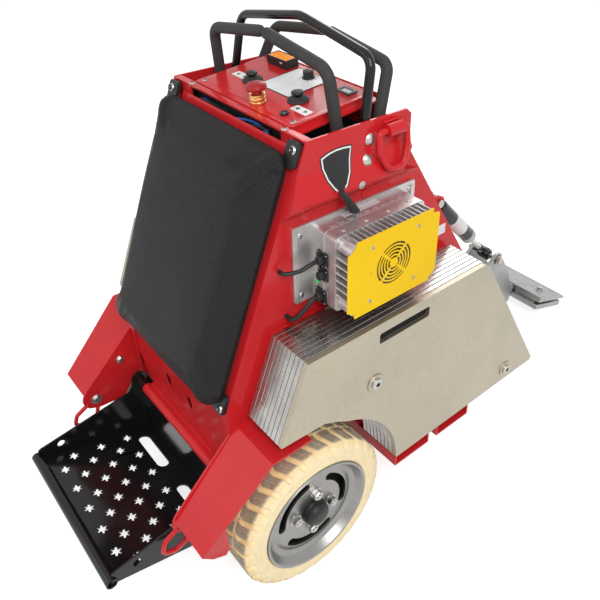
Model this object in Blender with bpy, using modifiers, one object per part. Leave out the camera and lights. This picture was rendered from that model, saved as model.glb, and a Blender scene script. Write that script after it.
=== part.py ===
"""Stand-on battery floor stripper, modelled as an assembly of separate pieces.

Metres, +Z up, +X forward (towards the blade), +Y to the operator's left.
Every piece is placed from the axle: x = 0 at the axle, z = 0 on the ground.
The last step moves the whole machine so that the origin is the bottom centre of its box.
"""
import math

import bmesh
import bpy
from mathutils import Matrix, Vector

# ---------------------------------------------------------------- driving sizes
GAP = 0.0003              # clearance between pieces that touch

# wheels
TYRE_RADIUS = 0.175
TYRE_WIDTH = 0.103
WHEEL_OUTER_Y = 0.328     # outer sidewall of a tyre
RIM_RADIUS = 0.127
RIM_INSET = 0.012         # how deep the wheel disc sits behind the sidewall
LUG_CIRCLE = 0.046
HUB_CAP_RADIUS = 0.028
NUT_START = -8              # degrees from straight forward to the first wheel nut

# body
BODY_HALF = 0.219         # outer face of the upper side plates
LOWER_HALF = 0.210        # outer face of the lower side plates
BULGE_HALF = 0.236        # outermost fold of the side plates
WALL = 0.005              # side plate thickness
BODY_TOP = 0.943
BULGE_TOP = 0.885
BULGE_FOLD = 0.832
BULGE_FOOT = 0.806
BODY_FLOOR = 0.240
BELLY_TOP = 0.294
BELLY_PLATE = 0.010
REAR_TOP_X = 0.072        # rear edge of the side plates at the top
REAR_LOW = (-0.120, 0.452)
FRONT_TOP_X = 0.316
FRONT_KNEE = (0.317, 0.866)   # where the upper part ends; its fold is cut back from here
FOLD_END = (0.290, 0.840)
SLOPE_TOP = (0.330, 0.850)    # top of the sloping front edge of the lower part
FRONT_LOW = (0.620, 0.393)
FLANGE = 0.024            # rear flange of the side plates, folded inwards

# weight plates
PLATES = 9
PLATE_PITCH = 0.01185
PLATE_GAP = 0.0006
STACK_INNER_Y = 0.2222    # inner face of the first weight plate
STACK_BOTTOM = 0.182
STACK_TOP = 0.591
STACK_REAR = (-0.083, 0.430)
STACK_REAR_TOP_X = -0.019
STACK_FRONT_TOP_X = 0.463
STACK_FRONT_X = 0.711
ARCH_CENTRE = (-0.015, 0.175)
ARCH_RADIUS = 0.235
HAND_SLOT = (0.152, 0.2875, 0.543, 0.567)   # x from, x to, z from, z to
STACK_BOLTS = ((0.145, 0.450), (0.596, 0.222))
GROOVE_DEPTH = 0.006
CHANNEL_HEIGHT = 0.028
CHANNEL_SPANS = ((0.219, 0.327), (0.354, 0.464))
CHANNEL_WALL = 0.004

# fenders
FENDER_INNER = 0.2065     # inner face of the fender wall
FENDER_WALL = 0.0045
FENDER_TOP = 0.406
FENDER_FOLD_X = -0.104
FENDER_DROP = 0.150       # the slope falls as far as it runs back, at 45 degrees
FENDER_OUTER_TOP = 0.328
FENDER_OUTER_LOW = 0.310
FENDER_ROOF_END = -0.014

# platform
HINGE = (-0.128, 0.255)
HINGE_TUBE_RADIUS = 0.0125
HINGE_TUBE_HALF = 0.147
TRAY_REAR = (-0.386, 0.172)
TRAY_TILT = math.radians(14.2)
TRAY_HALF = 0.190
TRAY_WALL = 0.004
TRAY_DEPTH = 0.268
REAR_TUBE_RADIUS = 0.0115
STAR_PITCH = 0.064
STAR_ROWS = 6
STAR_RADIUS = 0.0095
STAR_START = 0.038

# pad
PAD_HALF = 0.203
PAD_THICK = 0.052
PAD_LENGTH = 0.508
PAD_TOP_OFFSET = 0.030
PAD_CORNER = 0.052        # lower corners
PAD_TOP_CORNER = 0.028
PAD_BAR_HALF = 0.1805

# controls
PANEL_REAR = (0.0863, 0.9445)
PANEL_LENGTH = 0.189
PANEL_SLOPE = 0.100
PANEL_HALF = 0.159
PANEL_SKIRT = 0.016
GRIP_RADIUS = 0.0112
GUARD_RADIUS = 0.0090
LEVER_PIVOT = (0.213, 0.797)
LEVER_Y = 0.187
ESTOP = (0.108, -0.030)
ESTOP_COLLAR = 0.0152
ESTOP_STEM = 0.0100
JOYSTICK_X = 0.163
JOYSTICK_MIDDLE = -0.0055
JOYSTICK_Y = 0.0735
KNOB = (0.241, -0.012)
KEY = (0.111, -0.106)

RING_AXIS = (BODY_HALF + 0.0118, 0.9195)
RING_SLEEVE = (0.2430, 0.2820)
RING_ROD = 0.0060

# charger, on the right side
CHARGER_REAR_X = 0.084
CHARGER_FRONT_X = 0.310
CHARGER_BOTTOM = 0.619
CHARGER_TOP = 0.780
CHARGER_OUTER_Y = 0.312
HOUSING_DEPTH = 0.066
FAN_CENTRE = (0.195, 0.702)
FAN_RADIUS = 0.045

# front tool
ARM_PIVOT = (0.700, 0.205)
ARM_PIN = (0.922, 0.262)
CYLINDER_MOUNT = (0.655, 0.540)
HUB = (1.045, 0.0760)
ARM_OUTER = 0.046         # outer face of the lift arm plates
ARM_WALL = 0.010
LINK_CLEARANCE = 0.0026   # free play of the rod's eye on its pin
HEAD_HALF = 0.120
HEAD_TILT = math.radians(19.0)
HEAD_REAR = 0.030
HEAD_CHORD = 0.143
JAW_THICK = 0.0168
JAW_SPACE = 0.0076

SIDES = ((1, "left"), (-1, "right"))

# ---------------------------------------------------------------- scene and materials


def clear_scene():
    for obj in list(bpy.data.objects):
        bpy.data.objects.remove(obj, do_unlink=True)


def make_collection(name):
    collection = bpy.data.collections.new(name)
    bpy.context.scene.collection.children.link(collection)
    return collection


def make_material(name, colour, roughness, metallic=0.0):
    material = bpy.data.materials.new(name)
    material.use_nodes = True
    shader = material.node_tree.nodes["Principled BSDF"]
    shader.inputs["Base Color"].default_value = (*colour, 1.0)
    shader.inputs["Roughness"].default_value = roughness
    shader.inputs["Metallic"].default_value = metallic
    return material


clear_scene()
PARTS = make_collection("floor_stripper")
CUTTERS = make_collection("cutters")

RED = make_material("red_paint", (0.58, 0.020, 0.025), 0.25)
BLACK_PAINT = make_material("black_paint", (0.012, 0.012, 0.013), 0.22)
ZINC_PLATE = make_material("zinc_plate", (0.52, 0.49, 0.43), 0.42, 0.8)
BRIGHT_STEEL = make_material("bright_steel", (0.72, 0.72, 0.70), 0.25, 1.0)
CAST_ALLOY = make_material("cast_alloy", (0.55, 0.54, 0.54), 0.40, 0.9)
YELLOW_PAINT = make_material("yellow_paint", (0.95, 0.60, 0.015), 0.45)
BLACK_PLASTIC = make_material("black_plastic", (0.020, 0.020, 0.020), 0.45)
GRIP_RUBBER = make_material("grip_rubber", (0.045, 0.043, 0.040), 0.75)
TYRE_RUBBER = make_material("tyre_rubber", (0.90, 0.80, 0.52), 0.70)
PAD_VINYL = make_material("pad_vinyl", (0.035, 0.035, 0.036), 0.55)
BRASS = make_material("brass", (0.78, 0.55, 0.20), 0.25, 1.0)
STOP_RED = make_material("stop_red", (0.45, 0.03, 0.03), 0.35)

# ---------------------------------------------------------------- modelling helpers


def new_object(name, mesh, material, collection=None):
    obj = bpy.data.objects.new(name, mesh)
    (collection or PARTS).objects.link(obj)
    if material:
        mesh.materials.clear()
        mesh.materials.append(material)
    return obj


def finish_mesh(mesh, matrix=None, weld=0.00001):
    """Place the mesh, weld loose caps and point every face outwards."""
    work = bmesh.new()
    work.from_mesh(mesh)
    if matrix is not None:
        bmesh.ops.transform(work, matrix=matrix, verts=work.verts)
    bmesh.ops.remove_doubles(work, verts=work.verts, dist=weld)
    bmesh.ops.recalc_face_normals(work, faces=work.faces)
    work.to_mesh(mesh)
    work.free()
    return mesh


def curve_to_mesh(curve, name, matrix=None):
    """The curve as a welded mesh; the curve and its holder are removed."""
    holder = bpy.data.objects.new(name + "_curve", curve)
    bpy.context.scene.collection.objects.link(holder)
    graph = bpy.context.evaluated_depsgraph_get()
    graph.update()
    mesh = bpy.data.meshes.new_from_object(holder.evaluated_get(graph))
    bpy.data.objects.remove(holder, do_unlink=True)
    bpy.data.curves.remove(curve)
    mesh.name = name
    return finish_mesh(mesh, matrix)


def axis_frame(axis):
    """Turn a flat outline so that its thickness runs along the named axis."""
    if axis == "Y":
        return Matrix(((1, 0, 0, 0), (0, 0, -1, 0), (0, 1, 0, 0), (0, 0, 0, 1)))
    if axis == "X":
        return Matrix(((0, 0, 1, 0), (1, 0, 0, 0), (0, 1, 0, 0), (0, 0, 0, 1)))
    return Matrix.Identity(4)


def flat_mesh(name, outlines, axis, low, high):
    """Closed outlines, the first one outside and the rest holes, between two planes of an axis."""
    curve = bpy.data.curves.new(name, "CURVE")
    curve.dimensions = "2D"
    curve.fill_mode = "BOTH"
    curve.extrude = (high - low) / 2
    for outline in outlines:
        spline = curve.splines.new("POLY")
        spline.points.add(len(outline) - 1)
        for point, (a, b) in zip(spline.points, outline):
            point.co = (a, b, 0.0, 1.0)
        spline.use_cyclic_u = True
    middle = (low + high) / 2
    shift = {"X": (middle, 0, 0), "Y": (0, middle, 0), "Z": (0, 0, middle)}[axis]
    return curve_to_mesh(curve, name, Matrix.Translation(shift) @ axis_frame(axis))


def flat_piece(name, outlines, axis, low, high, material, collection=None):
    return new_object(name, flat_mesh(name, outlines, axis, low, high), material, collection)


def box_mesh(name, low, high, matrix=None):
    work = bmesh.new()
    bmesh.ops.create_cube(work, size=1.0)
    size = [high[i] - low[i] for i in range(3)]
    middle = [(high[i] + low[i]) / 2 for i in range(3)]
    bmesh.ops.scale(work, vec=size, verts=work.verts)
    bmesh.ops.translate(work, vec=middle, verts=work.verts)
    mesh = bpy.data.meshes.new(name)
    work.to_mesh(mesh)
    work.free()
    return finish_mesh(mesh, matrix)


def cone_mesh(name, start, end, radius, end_radius=None, sides=20):
    """A cylinder or a cone from one point to another."""
    start, end = Vector(start), Vector(end)
    work = bmesh.new()
    bmesh.ops.create_cone(work, cap_ends=True, segments=sides, radius1=radius,
                          radius2=radius if end_radius is None else end_radius,
                          depth=(end - start).length)
    mesh = bpy.data.meshes.new(name)
    work.to_mesh(mesh)
    work.free()
    turn = (end - start).to_track_quat("Z", "Y").to_matrix().to_4x4()
    return finish_mesh(mesh, Matrix.Translation((start + end) / 2) @ turn)


def tube_mesh(name, points, radius, cyclic=False, resolution=3):
    curve = bpy.data.curves.new(name, "CURVE")
    curve.dimensions = "3D"
    curve.bevel_depth = radius
    curve.bevel_resolution = resolution
    curve.use_fill_caps = not cyclic
    spline = curve.splines.new("POLY")
    spline.points.add(len(points) - 1)
    for point, place in zip(spline.points, points):
        point.co = (*place, 1.0)
    spline.use_cyclic_u = cyclic
    return curve_to_mesh(curve, name)


def turned_mesh(name, profile, steps=40, matrix=None):
    """A profile of (radius, height) from top to bottom, turned about Z by a Screw modifier."""
    work = bmesh.new()
    line = [work.verts.new((radius, 0.0, height)) for radius, height in profile]
    for first, second in zip(line, line[1:]):
        work.edges.new((first, second))
    mesh = bpy.data.meshes.new(name)
    work.to_mesh(mesh)
    work.free()
    holder = bpy.data.objects.new(name + "_profile", mesh)
    bpy.context.scene.collection.objects.link(holder)
    screw = holder.modifiers.new("turn", "SCREW")
    screw.steps = steps
    screw.render_steps = steps
    screw.use_merge_vertices = True
    screw.merge_threshold = 0.00001
    graph = bpy.context.evaluated_depsgraph_get()
    graph.update()
    result = bpy.data.meshes.new_from_object(holder.evaluated_get(graph))
    bpy.data.objects.remove(holder, do_unlink=True)
    bpy.data.meshes.remove(mesh)
    result.name = name
    return finish_mesh(result, matrix)


def join_meshes(name, meshes):
    """Several closed solids as one mesh, each still a body of its own."""
    work = bmesh.new()
    for mesh in meshes:
        work.from_mesh(mesh)
        bpy.data.meshes.remove(mesh)
    joined = bpy.data.meshes.new(name)
    work.to_mesh(joined)
    work.free()
    return joined




def combine(obj, mesh, operation):
    """Unite, cut or intersect an object with a helper mesh kept in the cutters' collection."""
    cutter = new_object(obj.name + "_cutter", mesh, None, CUTTERS)
    cutter.hide_render = True
    cutter.display_type = "WIRE"
    boolean = obj.modifiers.new(operation.lower(), "BOOLEAN")
    boolean.operation = operation
    boolean.object = cutter
    boolean.solver = "EXACT"
    return cutter


def welded_piece(name, meshes, material):
    """One body made of overlapping solids."""
    obj = new_object(name, meshes[0], material)
    for mesh in meshes[1:]:
        combine(obj, mesh, "UNION")
    return obj


def loft_mesh(name, rings):
    """A closed body through rings of (x, y, z) points that all have the same count."""
    work = bmesh.new()
    lines = [[work.verts.new(place) for place in ring] for ring in rings]
    count = len(lines[0])
    for first, second in zip(lines, lines[1:]):
        for i in range(count):
            work.faces.new((first[i], first[(i + 1) % count], second[(i + 1) % count], second[i]))
    work.faces.new(lines[0][::-1])
    work.faces.new(lines[-1])
    mesh = bpy.data.meshes.new(name)
    work.to_mesh(mesh)
    work.free()
    return finish_mesh(mesh)


def arc(centre, radius, start, stop, steps):
    """Points on an arc; the angles are in degrees."""
    points = []
    for i in range(steps + 1):
        angle = math.radians(start + (stop - start) * i / steps)
        points.append((centre[0] + radius * math.cos(angle), centre[1] + radius * math.sin(angle)))
    return points


def circle(centre, radius, steps=24):
    return arc(centre, radius, 0, 360 * (steps - 1) / steps, steps - 1)


def rounded_box(x0, x1, y0, y1, radius, steps=5):
    return (arc((x1 - radius, y1 - radius), radius, 0, 90, steps)
            + arc((x0 + radius, y1 - radius), radius, 90, 180, steps)
            + arc((x0 + radius, y0 + radius), radius, 180, 270, steps)
            + arc((x1 - radius, y0 + radius), radius, 270, 360, steps))


def soften(points, radii, steps=4):
    """Round the corners of an open path by the radius given for each inner point."""
    path = [Vector(points[0])]
    for before, corner, after, radius in zip(points, points[1:], points[2:], radii):
        before, corner, after = Vector(before), Vector(corner), Vector(after)
        into, out = (before - corner).normalized(), (after - corner).normalized()
        half = into.angle(out) / 2
        reach = radius / math.tan(half)
        centre = corner + (into + out).normalized() * (radius / math.sin(half))
        first = (corner + into * reach - centre).normalized()
        last = (corner + out * reach - centre).normalized()
        for i in range(steps + 1):
            path.append(centre + first.slerp(last, i / steps) * radius)
    path.append(Vector(points[-1]))
    return [tuple(point) for point in path]


def set_pivot(obj, point):
    """Put the object's origin on its joint without moving its mesh in the world."""
    obj.data.transform(Matrix.Translation(-Vector(point)))
    obj.location = point
    return obj


def along_y(side, low, high):
    """The two planes between low and high on one side of the machine, in rising order."""
    return (low, high) if side > 0 else (-high, -low)


def head_frame():
    """The blade head's own frame: origin at the hub, x along the clamp, tilted nose down."""
    return Matrix.Translation((HUB[0], 0, HUB[1])) @ Matrix.Rotation(HEAD_TILT, 4, "Y")


# ---------------------------------------------------------------- body


def rear_edge_x(z):
    """The rear edge of the side plates, a straight slope down to the kink."""
    low_x, low_z = REAR_LOW
    return low_x + (REAR_TOP_X - low_x) * (z - low_z) / (BODY_TOP - low_z)


def rear_angle():
    return math.atan2(REAR_TOP_X - REAR_LOW[0], BODY_TOP - REAR_LOW[1])


def side_outline(inset=0.0):
    share = (SLOPE_TOP[1] - 0.806) / (SLOPE_TOP[1] - FRONT_LOW[1])
    slope_x = SLOPE_TOP[0] + share * (FRONT_LOW[0] - SLOPE_TOP[0])
    return [(rear_edge_x(BODY_TOP - inset) + inset, BODY_TOP - inset),
            (FRONT_TOP_X - inset - 0.012, BODY_TOP - inset),
            (FRONT_TOP_X - inset, BODY_TOP - inset - 0.011),
            (FRONT_KNEE[0] - inset, FRONT_KNEE[1]),
            (FOLD_END[0] - inset, FOLD_END[1]), (FOLD_END[0] - inset, FOLD_END[1] - 0.012),
            (slope_x - inset, 0.806), (FRONT_LOW[0] - inset, FRONT_LOW[1]),
            (FRONT_LOW[0] - inset, BODY_FLOOR + inset),
            (REAR_LOW[0] + inset, BODY_FLOOR + inset),
            (REAR_LOW[0] + inset, REAR_LOW[1])]


def build_side_plate(side, tag):
    outer = [(BODY_HALF, BODY_TOP + 0.02), (BODY_HALF, BULGE_TOP), (BULGE_HALF, BULGE_FOLD + 0.006),
             (BULGE_HALF, BULGE_FOLD - 0.002), (LOWER_HALF, BULGE_FOOT), (LOWER_HALF, BODY_FLOOR - 0.02)]
    section = outer + [(y - WALL, z) for y, z in reversed(outer)]
    section = [(side * y, z) for y, z in section]
    plate = flat_piece("side_plate_" + tag, [section], "X", REAR_LOW[0] - 0.05,
                       FRONT_LOW[0] + 0.05, RED)
    low, high = along_y(side, 0.15, 0.27)
    combine(plate, flat_mesh("outline_" + tag, [side_outline()], "Y", low, high), "INTERSECT")
    flange_top = BODY_TOP - 0.028
    foot = BODY_FLOOR + 0.045
    flange = [(rear_edge_x(flange_top) + 0.0002, flange_top), (rear_edge_x(flange_top) + WALL, flange_top),
              (REAR_LOW[0] + WALL, REAR_LOW[1]), (REAR_LOW[0] + WALL, foot),
              (REAR_LOW[0] + 0.0002, foot), (REAR_LOW[0] + 0.0002, REAR_LOW[1])]
    low, high = along_y(side, LOWER_HALF - FLANGE, LOWER_HALF - WALL / 2)
    combine(plate, flat_mesh("flange_" + tag, [flange], "Y", low, high), "UNION")
    # The lower part runs on up behind the fold's cut end.
    tongue = [(0.258, 0.797), (0.258, 0.858), (SLOPE_TOP[0] - 0.004, 0.858), SLOPE_TOP,
              (SLOPE_TOP[0] + (SLOPE_TOP[1] - 0.797) * (FRONT_LOW[0] - SLOPE_TOP[0])
               / (SLOPE_TOP[1] - FRONT_LOW[1]) - 0.0002, 0.797)]
    low, high = along_y(side, LOWER_HALF - WALL + 0.0003, LOWER_HALF - 0.0003)
    combine(plate, flat_mesh("tongue_" + tag, [tongue], "Y", low, high), "UNION")
    add_side_fittings(plate, side)


def add_side_fittings(plate, side):
    """Carriage bolt heads, the sleeve of the D-ring and the stub the drive lever turns on."""
    face = BODY_HALF - 0.001
    for x, z in ((0.213, 0.908), (0.205, 0.872)):
        start = face if z > BULGE_TOP else face + 0.0045
        head = cone_mesh("head", (x, side * start, z), (x, side * (start + 0.0065), z), 0.0110, 0.0062, 16)
        combine(plate, head, "UNION")
    axis_y = RING_AXIS[0]
    low_x, high_x = RING_SLEEVE
    outline = [circle((side * axis_y, RING_AXIS[1]), 0.0125, 20),
               circle((side * axis_y, RING_AXIS[1]), RING_ROD + GAP, 16)]
    sleeve = flat_mesh("sleeve", outline, "X", low_x, high_x)
    combine(plate, sleeve, "UNION")
    pivot_x, pivot_z = LEVER_PIVOT
    stub = cone_mesh("stub", (pivot_x, side * (LEVER_Y - 0.009), pivot_z),
                     (pivot_x, side * (LOWER_HALF - 0.002), pivot_z), 0.0080, None, 16)
    combine(plate, stub, "UNION")


def build_chassis():
    """A belly plate with its rear edge turned down."""
    half = LOWER_HALF - WALL - GAP
    low, high = BELLY_TOP - BELLY_PLATE, BELLY_TOP
    section = [(-0.105, BODY_FLOOR + 0.006), (-0.105, high), (0.600, high), (0.600, low), (-0.097, low),
               (-0.097, BODY_FLOOR + 0.006)]
    flat_piece("chassis_plate", [section], "Y", -half, half, RED)


def build_front_cover():
    """A bent sheet: the front wall at the top, the long slope and the nose."""
    sheet = 0.004
    outline = [(0.300, 0.955), (0.300, 0.846), (FRONT_LOW[0] - 0.012, FRONT_LOW[1] - 0.008),
               (FRONT_LOW[0] - 0.012, BODY_FLOOR + 0.002)]
    back = [(x - sheet, z - (0.0 if i in (0, 3) else 0.001)) for i, (x, z) in enumerate(outline)]
    half = LOWER_HALF - WALL - GAP
    cover = flat_piece("front_cover", [outline + back[::-1]], "Y", -half, half, RED)
    notch = box_mesh("wall_corner", (0.27, 0.169, 0.89), (0.33, 0.30, 0.97))
    combine(cover, join_meshes("wall_corners", [
        notch, box_mesh("wall_corner", (0.27, -0.30, 0.89), (0.33, -0.169, 0.97))]), "DIFFERENCE")


def build_rear_lower_panel():
    """The panel under the pad, with oval drain holes, on the body's rear flanges."""
    half = LOWER_HALF - FLANGE - GAP
    top, bottom = REAR_LOW[1] - 0.006, HINGE[1] + 0.020
    holes = [[(y + 0.010 * math.cos(t), 0.345 + 0.017 * math.sin(t) + 0.35 * 0.010 * math.cos(t))
              for t in [2 * math.pi * i / 16 for i in range(16)]] for y in (-0.044, 0.046)]
    outline = [(-half, top), (-half, bottom + 0.06), (-half + 0.05, bottom), (half - 0.05, bottom),
               (half, bottom + 0.06), (half, top)]
    rear = REAR_LOW[0] + 0.004
    flat_piece("rear_lower_panel", [outline] + holes, "X", rear, rear + 0.004, RED)
    tube = cone_mesh("hinge_tube", (HINGE[0], -HINGE_TUBE_HALF, HINGE[1]),
                     (HINGE[0], HINGE_TUBE_HALF, HINGE[1]), HINGE_TUBE_RADIUS)
    plate_half = HINGE_TUBE_HALF - 0.012
    plate = box_mesh("hinge_web", (HINGE[0] + 0.006, -plate_half, BODY_FLOOR + 0.006),
                     (-0.105 - GAP, plate_half, HINGE[1] + 0.019))
    welded_piece("platform_hinge_tube", [tube, plate], RED)


def build_rear_rails():
    half = BODY_HALF - WALL - GAP
    strip = [(0.0700, 0.9425), (0.0859, 0.9425), (0.0859, 0.9385), (0.0700, 0.9385)]
    rail = flat_piece("rear_top_rail", [strip], "Y", -half, half, RED)
    for side, _ in SIDES:
        screw = cone_mesh("screw", (0.0771, side * 0.153, 0.9415), (0.0771, side * 0.153, 0.9465), 0.0068,
                          0.0040, 14)
        combine(rail, screw, "UNION")
        low, high = along_y(side, 0.150, 0.186)
        combine(rail, box_mesh("tab", (0.0702, low, 0.9120), (0.0740, high, 0.9390)), "UNION")
    # A bent sheet above the pad: its face lies in the slope, its top edge is folded in.
    lean = (REAR_TOP_X - REAR_LOW[0]) / (BODY_TOP - REAR_LOW[1])
    top_x, top_z, drop = 0.0685, 0.9225, 0.020
    section = [(top_x, top_z), (top_x - lean * drop, top_z - drop), (top_x - lean * drop + 0.0035, top_z - drop),
               (0.0699, top_z - 0.006), (0.0699, top_z)]
    flat_piece("pad_top_bar", [section], "Y", -PAD_BAR_HALF, PAD_BAR_HALF, RED)


# ---------------------------------------------------------------- weight plates


def plate_outline():
    foot = math.degrees(math.asin((STACK_BOTTOM - ARCH_CENTRE[1]) / ARCH_RADIUS))
    sweep = arc(ARCH_CENTRE, ARCH_RADIUS, 67, foot, 9)
    return ([STACK_REAR, (0.016, 0.425), (0.045, 0.411)] + sweep
            + [(STACK_FRONT_X - 0.004, STACK_BOTTOM + 0.005),
               (STACK_FRONT_X, STACK_BOTTOM + 0.014), (STACK_FRONT_TOP_X + 0.008, STACK_TOP - 0.009),
               (STACK_FRONT_TOP_X - 0.002, STACK_TOP - 0.001), (STACK_FRONT_TOP_X - 0.010, STACK_TOP),
               (STACK_REAR_TOP_X, STACK_TOP)])


def groove_outline():
    """The plate outline drawn in, for the grooves between neighbouring plates."""
    outline = plate_outline()
    drawn = []
    for i, corner in enumerate(outline):
        before, after = outline[i - 1], outline[(i + 1) % len(outline)]
        into = (Vector(corner) - Vector(before)).normalized()
        out = (Vector(after) - Vector(corner)).normalized()
        first, second = Vector((into.y, -into.x)), Vector((out.y, -out.x))
        shift = (first + second) * (GROOVE_DEPTH / (1 + first.dot(second)))
        drawn.append((corner[0] - shift.x, corner[1] - shift.y))
    return drawn


def build_weight_stack(side, tag):
    """The inner weight plates, joined in their grooves, and the outer one with its slot and bolts."""
    full, drawn = plate_outline(), groove_outline()
    rings = []
    for index in range(PLATES - 1):
        low = STACK_INNER_Y + index * PLATE_PITCH
        high = low + PLATE_PITCH - PLATE_GAP
        rings += [[(x, side * low, z) for x, z in full], [(x, side * high, z) for x, z in full]]
        if index < PLATES - 2:
            rings += [[(x, side * high, z) for x, z in drawn],
                      [(x, side * (high + PLATE_GAP), z) for x, z in drawn]]
    new_object("weight_stack_" + tag, loft_mesh("weight_stack", rings), ZINC_PLATE)
    start = STACK_INNER_Y + (PLATES - 1) * PLATE_PITCH
    face = start + PLATE_PITCH - PLATE_GAP
    low, high = along_y(side, start, face)
    x0, x1, z0, z1 = HAND_SLOT
    slot = rounded_box(x0, x1, z0, z1, 0.0035, 2)
    plate = flat_piece("outer_weight_plate_" + tag, [plate_outline(), slot], "Y", low, high, ZINC_PLATE)
    for x, z in STACK_BOLTS:
        washer = cone_mesh("washer", (x, side * (face - 0.002), z), (x, side * (face + 0.004), z),
                           0.0190, 0.0172, 24)
        head = cone_mesh("head", (x, side * (face + 0.002), z), (x, side * (face + 0.009), z), 0.0100,
                         None, 16)
        combine(plate, washer, "UNION")
        combine(plate, head, "UNION")


def build_cross_channels():
    """Two open channels across the machine that carry the weight plates, hung from the frame."""
    top = STACK_BOTTOM - GAP
    bottom = top - CHANNEL_HEIGHT
    outer = STACK_INNER_Y + PLATES * PLATE_PITCH - PLATE_GAP
    first, last = CHANNEL_SPANS[0][0], CHANNEL_SPANS[1][1]
    meshes = [box_mesh("seat", (first + 0.001, -0.2045, top - 0.002), (last - 0.001, 0.2045, top + 0.006))]
    for x0, x1 in CHANNEL_SPANS:
        section = [(x0, top), (x0, bottom), (x1, bottom), (x1, top), (x1 - CHANNEL_WALL, top),
                   (x1 - CHANNEL_WALL, bottom + CHANNEL_WALL), (x0 + CHANNEL_WALL, bottom + CHANNEL_WALL),
                   (x0 + CHANNEL_WALL, top)]
        meshes.append(flat_mesh("channel", [section], "Y", -outer, outer))
        for side, _ in SIDES:
            low, high = along_y(side, 0.150, 0.200)
            meshes.append(box_mesh("leg", (x0 + 0.02, low, top + 0.003),
                                   (x1 - 0.02, high, BELLY_TOP - BELLY_PLATE - GAP)))
    welded_piece("cross_channels", meshes, RED)


# ---------------------------------------------------------------- fenders and loops


def carrier_outline():
    """The plate between body and weights: a little inside the weights, and down to the fender roof."""
    outline = groove_outline()
    low = FENDER_TOP - 0.002
    return [(STACK_REAR[0] + 0.010, low), (0.006, low)] + outline[2:] + [outline[0]]


def build_fender(side, tag):
    """A bent plate over the tyre with its carrier plate, loop and bolts as one weldment."""
    sheet = FENDER_WALL
    low_x, low_z = FENDER_FOLD_X - FENDER_DROP, FENDER_TOP - FENDER_DROP
    wall_in, wall_out = FENDER_INNER, FENDER_INNER + sheet
    front = REAR_LOW[0] - GAP
    top = FENDER_TOP + (front - FENDER_FOLD_X)
    wall = [(front, top + 0.003), (low_x + 0.003, low_z + 0.010), (low_x - 0.003, low_z),
            (low_x - 0.0065, low_z - 0.012), (low_x - 0.004, low_z - 0.027), (low_x + 0.006, low_z - 0.037),
            (low_x + 0.028, low_z - 0.046), (-0.165, low_z - 0.050), (-0.147, 0.232), (front, 0.262)]
    low, high = along_y(side, wall_in, wall_out)
    piece = flat_piece("fender_" + tag, [wall], "Y", low, high, RED)
    section = [(FENDER_FOLD_X, FENDER_TOP), (low_x, low_z), (low_x + sheet * 0.7, low_z - sheet * 0.7),
               (FENDER_FOLD_X + sheet * 0.4, FENDER_TOP - sheet), (FENDER_ROOF_END, FENDER_TOP - sheet),
               (FENDER_ROOF_END, FENDER_TOP)]
    near = LOWER_HALF + GAP
    low, high = along_y(side, near, FENDER_OUTER_TOP)
    bent = flat_mesh("bent", [section], "Y", low, high)
    for vertex in bent.vertices:
        if abs(vertex.co.y) > FENDER_OUTER_TOP - 0.001 and vertex.co.x < FENDER_FOLD_X - 0.05:
            vertex.co.y = side * FENDER_OUTER_LOW
    combine(piece, bent, "UNION")
    lip = [(low_x + 0.001, low_z - 0.0015), (low_x + 0.050, low_z + 0.0475), (low_x + 0.058, low_z - 0.024),
           (low_x + 0.0486, low_z - 0.0367), (low_x + 0.022, low_z - 0.024)]
    low, high = along_y(side, FENDER_OUTER_LOW - sheet - 0.001, FENDER_OUTER_LOW - 0.001)
    outer_lip = flat_mesh("lip", [lip], "Y", low, high)
    for vertex in outer_lip.vertices:
        rise = max((vertex.co.z - low_z) / FENDER_DROP, 0.0)
        vertex.co.y += side * rise * (FENDER_OUTER_TOP - FENDER_OUTER_LOW)
    combine(piece, outer_lip, "UNION")
    low, high = along_y(side, near + 0.0001, STACK_INNER_Y - GAP)
    combine(piece, flat_mesh("carrier", [carrier_outline()], "Y", low, high), "UNION")
    points = [(-0.250, side * 0.2090, 0.231), (-0.2800, side * 0.2092, 0.214),
              (-0.2890, side * 0.2095, 0.188), (-0.262, side * 0.2100, 0.176),
              (-0.236, side * 0.2095, 0.186), (-0.228, side * 0.2090, 0.219)]
    path = soften(points, (0.012, 0.012, 0.014, 0.014), 3)
    combine(piece, tube_mesh("loop", path, 0.0048, resolution=2), "UNION")
    for x, z, size in ((-0.158, 0.318, 0.0085), (-0.229, 0.238, 0.0105)):
        bolt = cone_mesh("bolt", (x, side * (wall_in + 0.001), z), (x, side * (wall_in - 0.0055), z), size,
                         size * 0.5, 16)
        combine(piece, bolt, "UNION")


# ---------------------------------------------------------------- platform


def tray_matrix():
    """Tray floor frame: x forward along the floor from the rear tube, y left, z up from the floor."""
    return Matrix.Translation((TRAY_REAR[0], 0, TRAY_REAR[1])) @ Matrix.Rotation(TRAY_TILT, 4, "Y")


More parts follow.
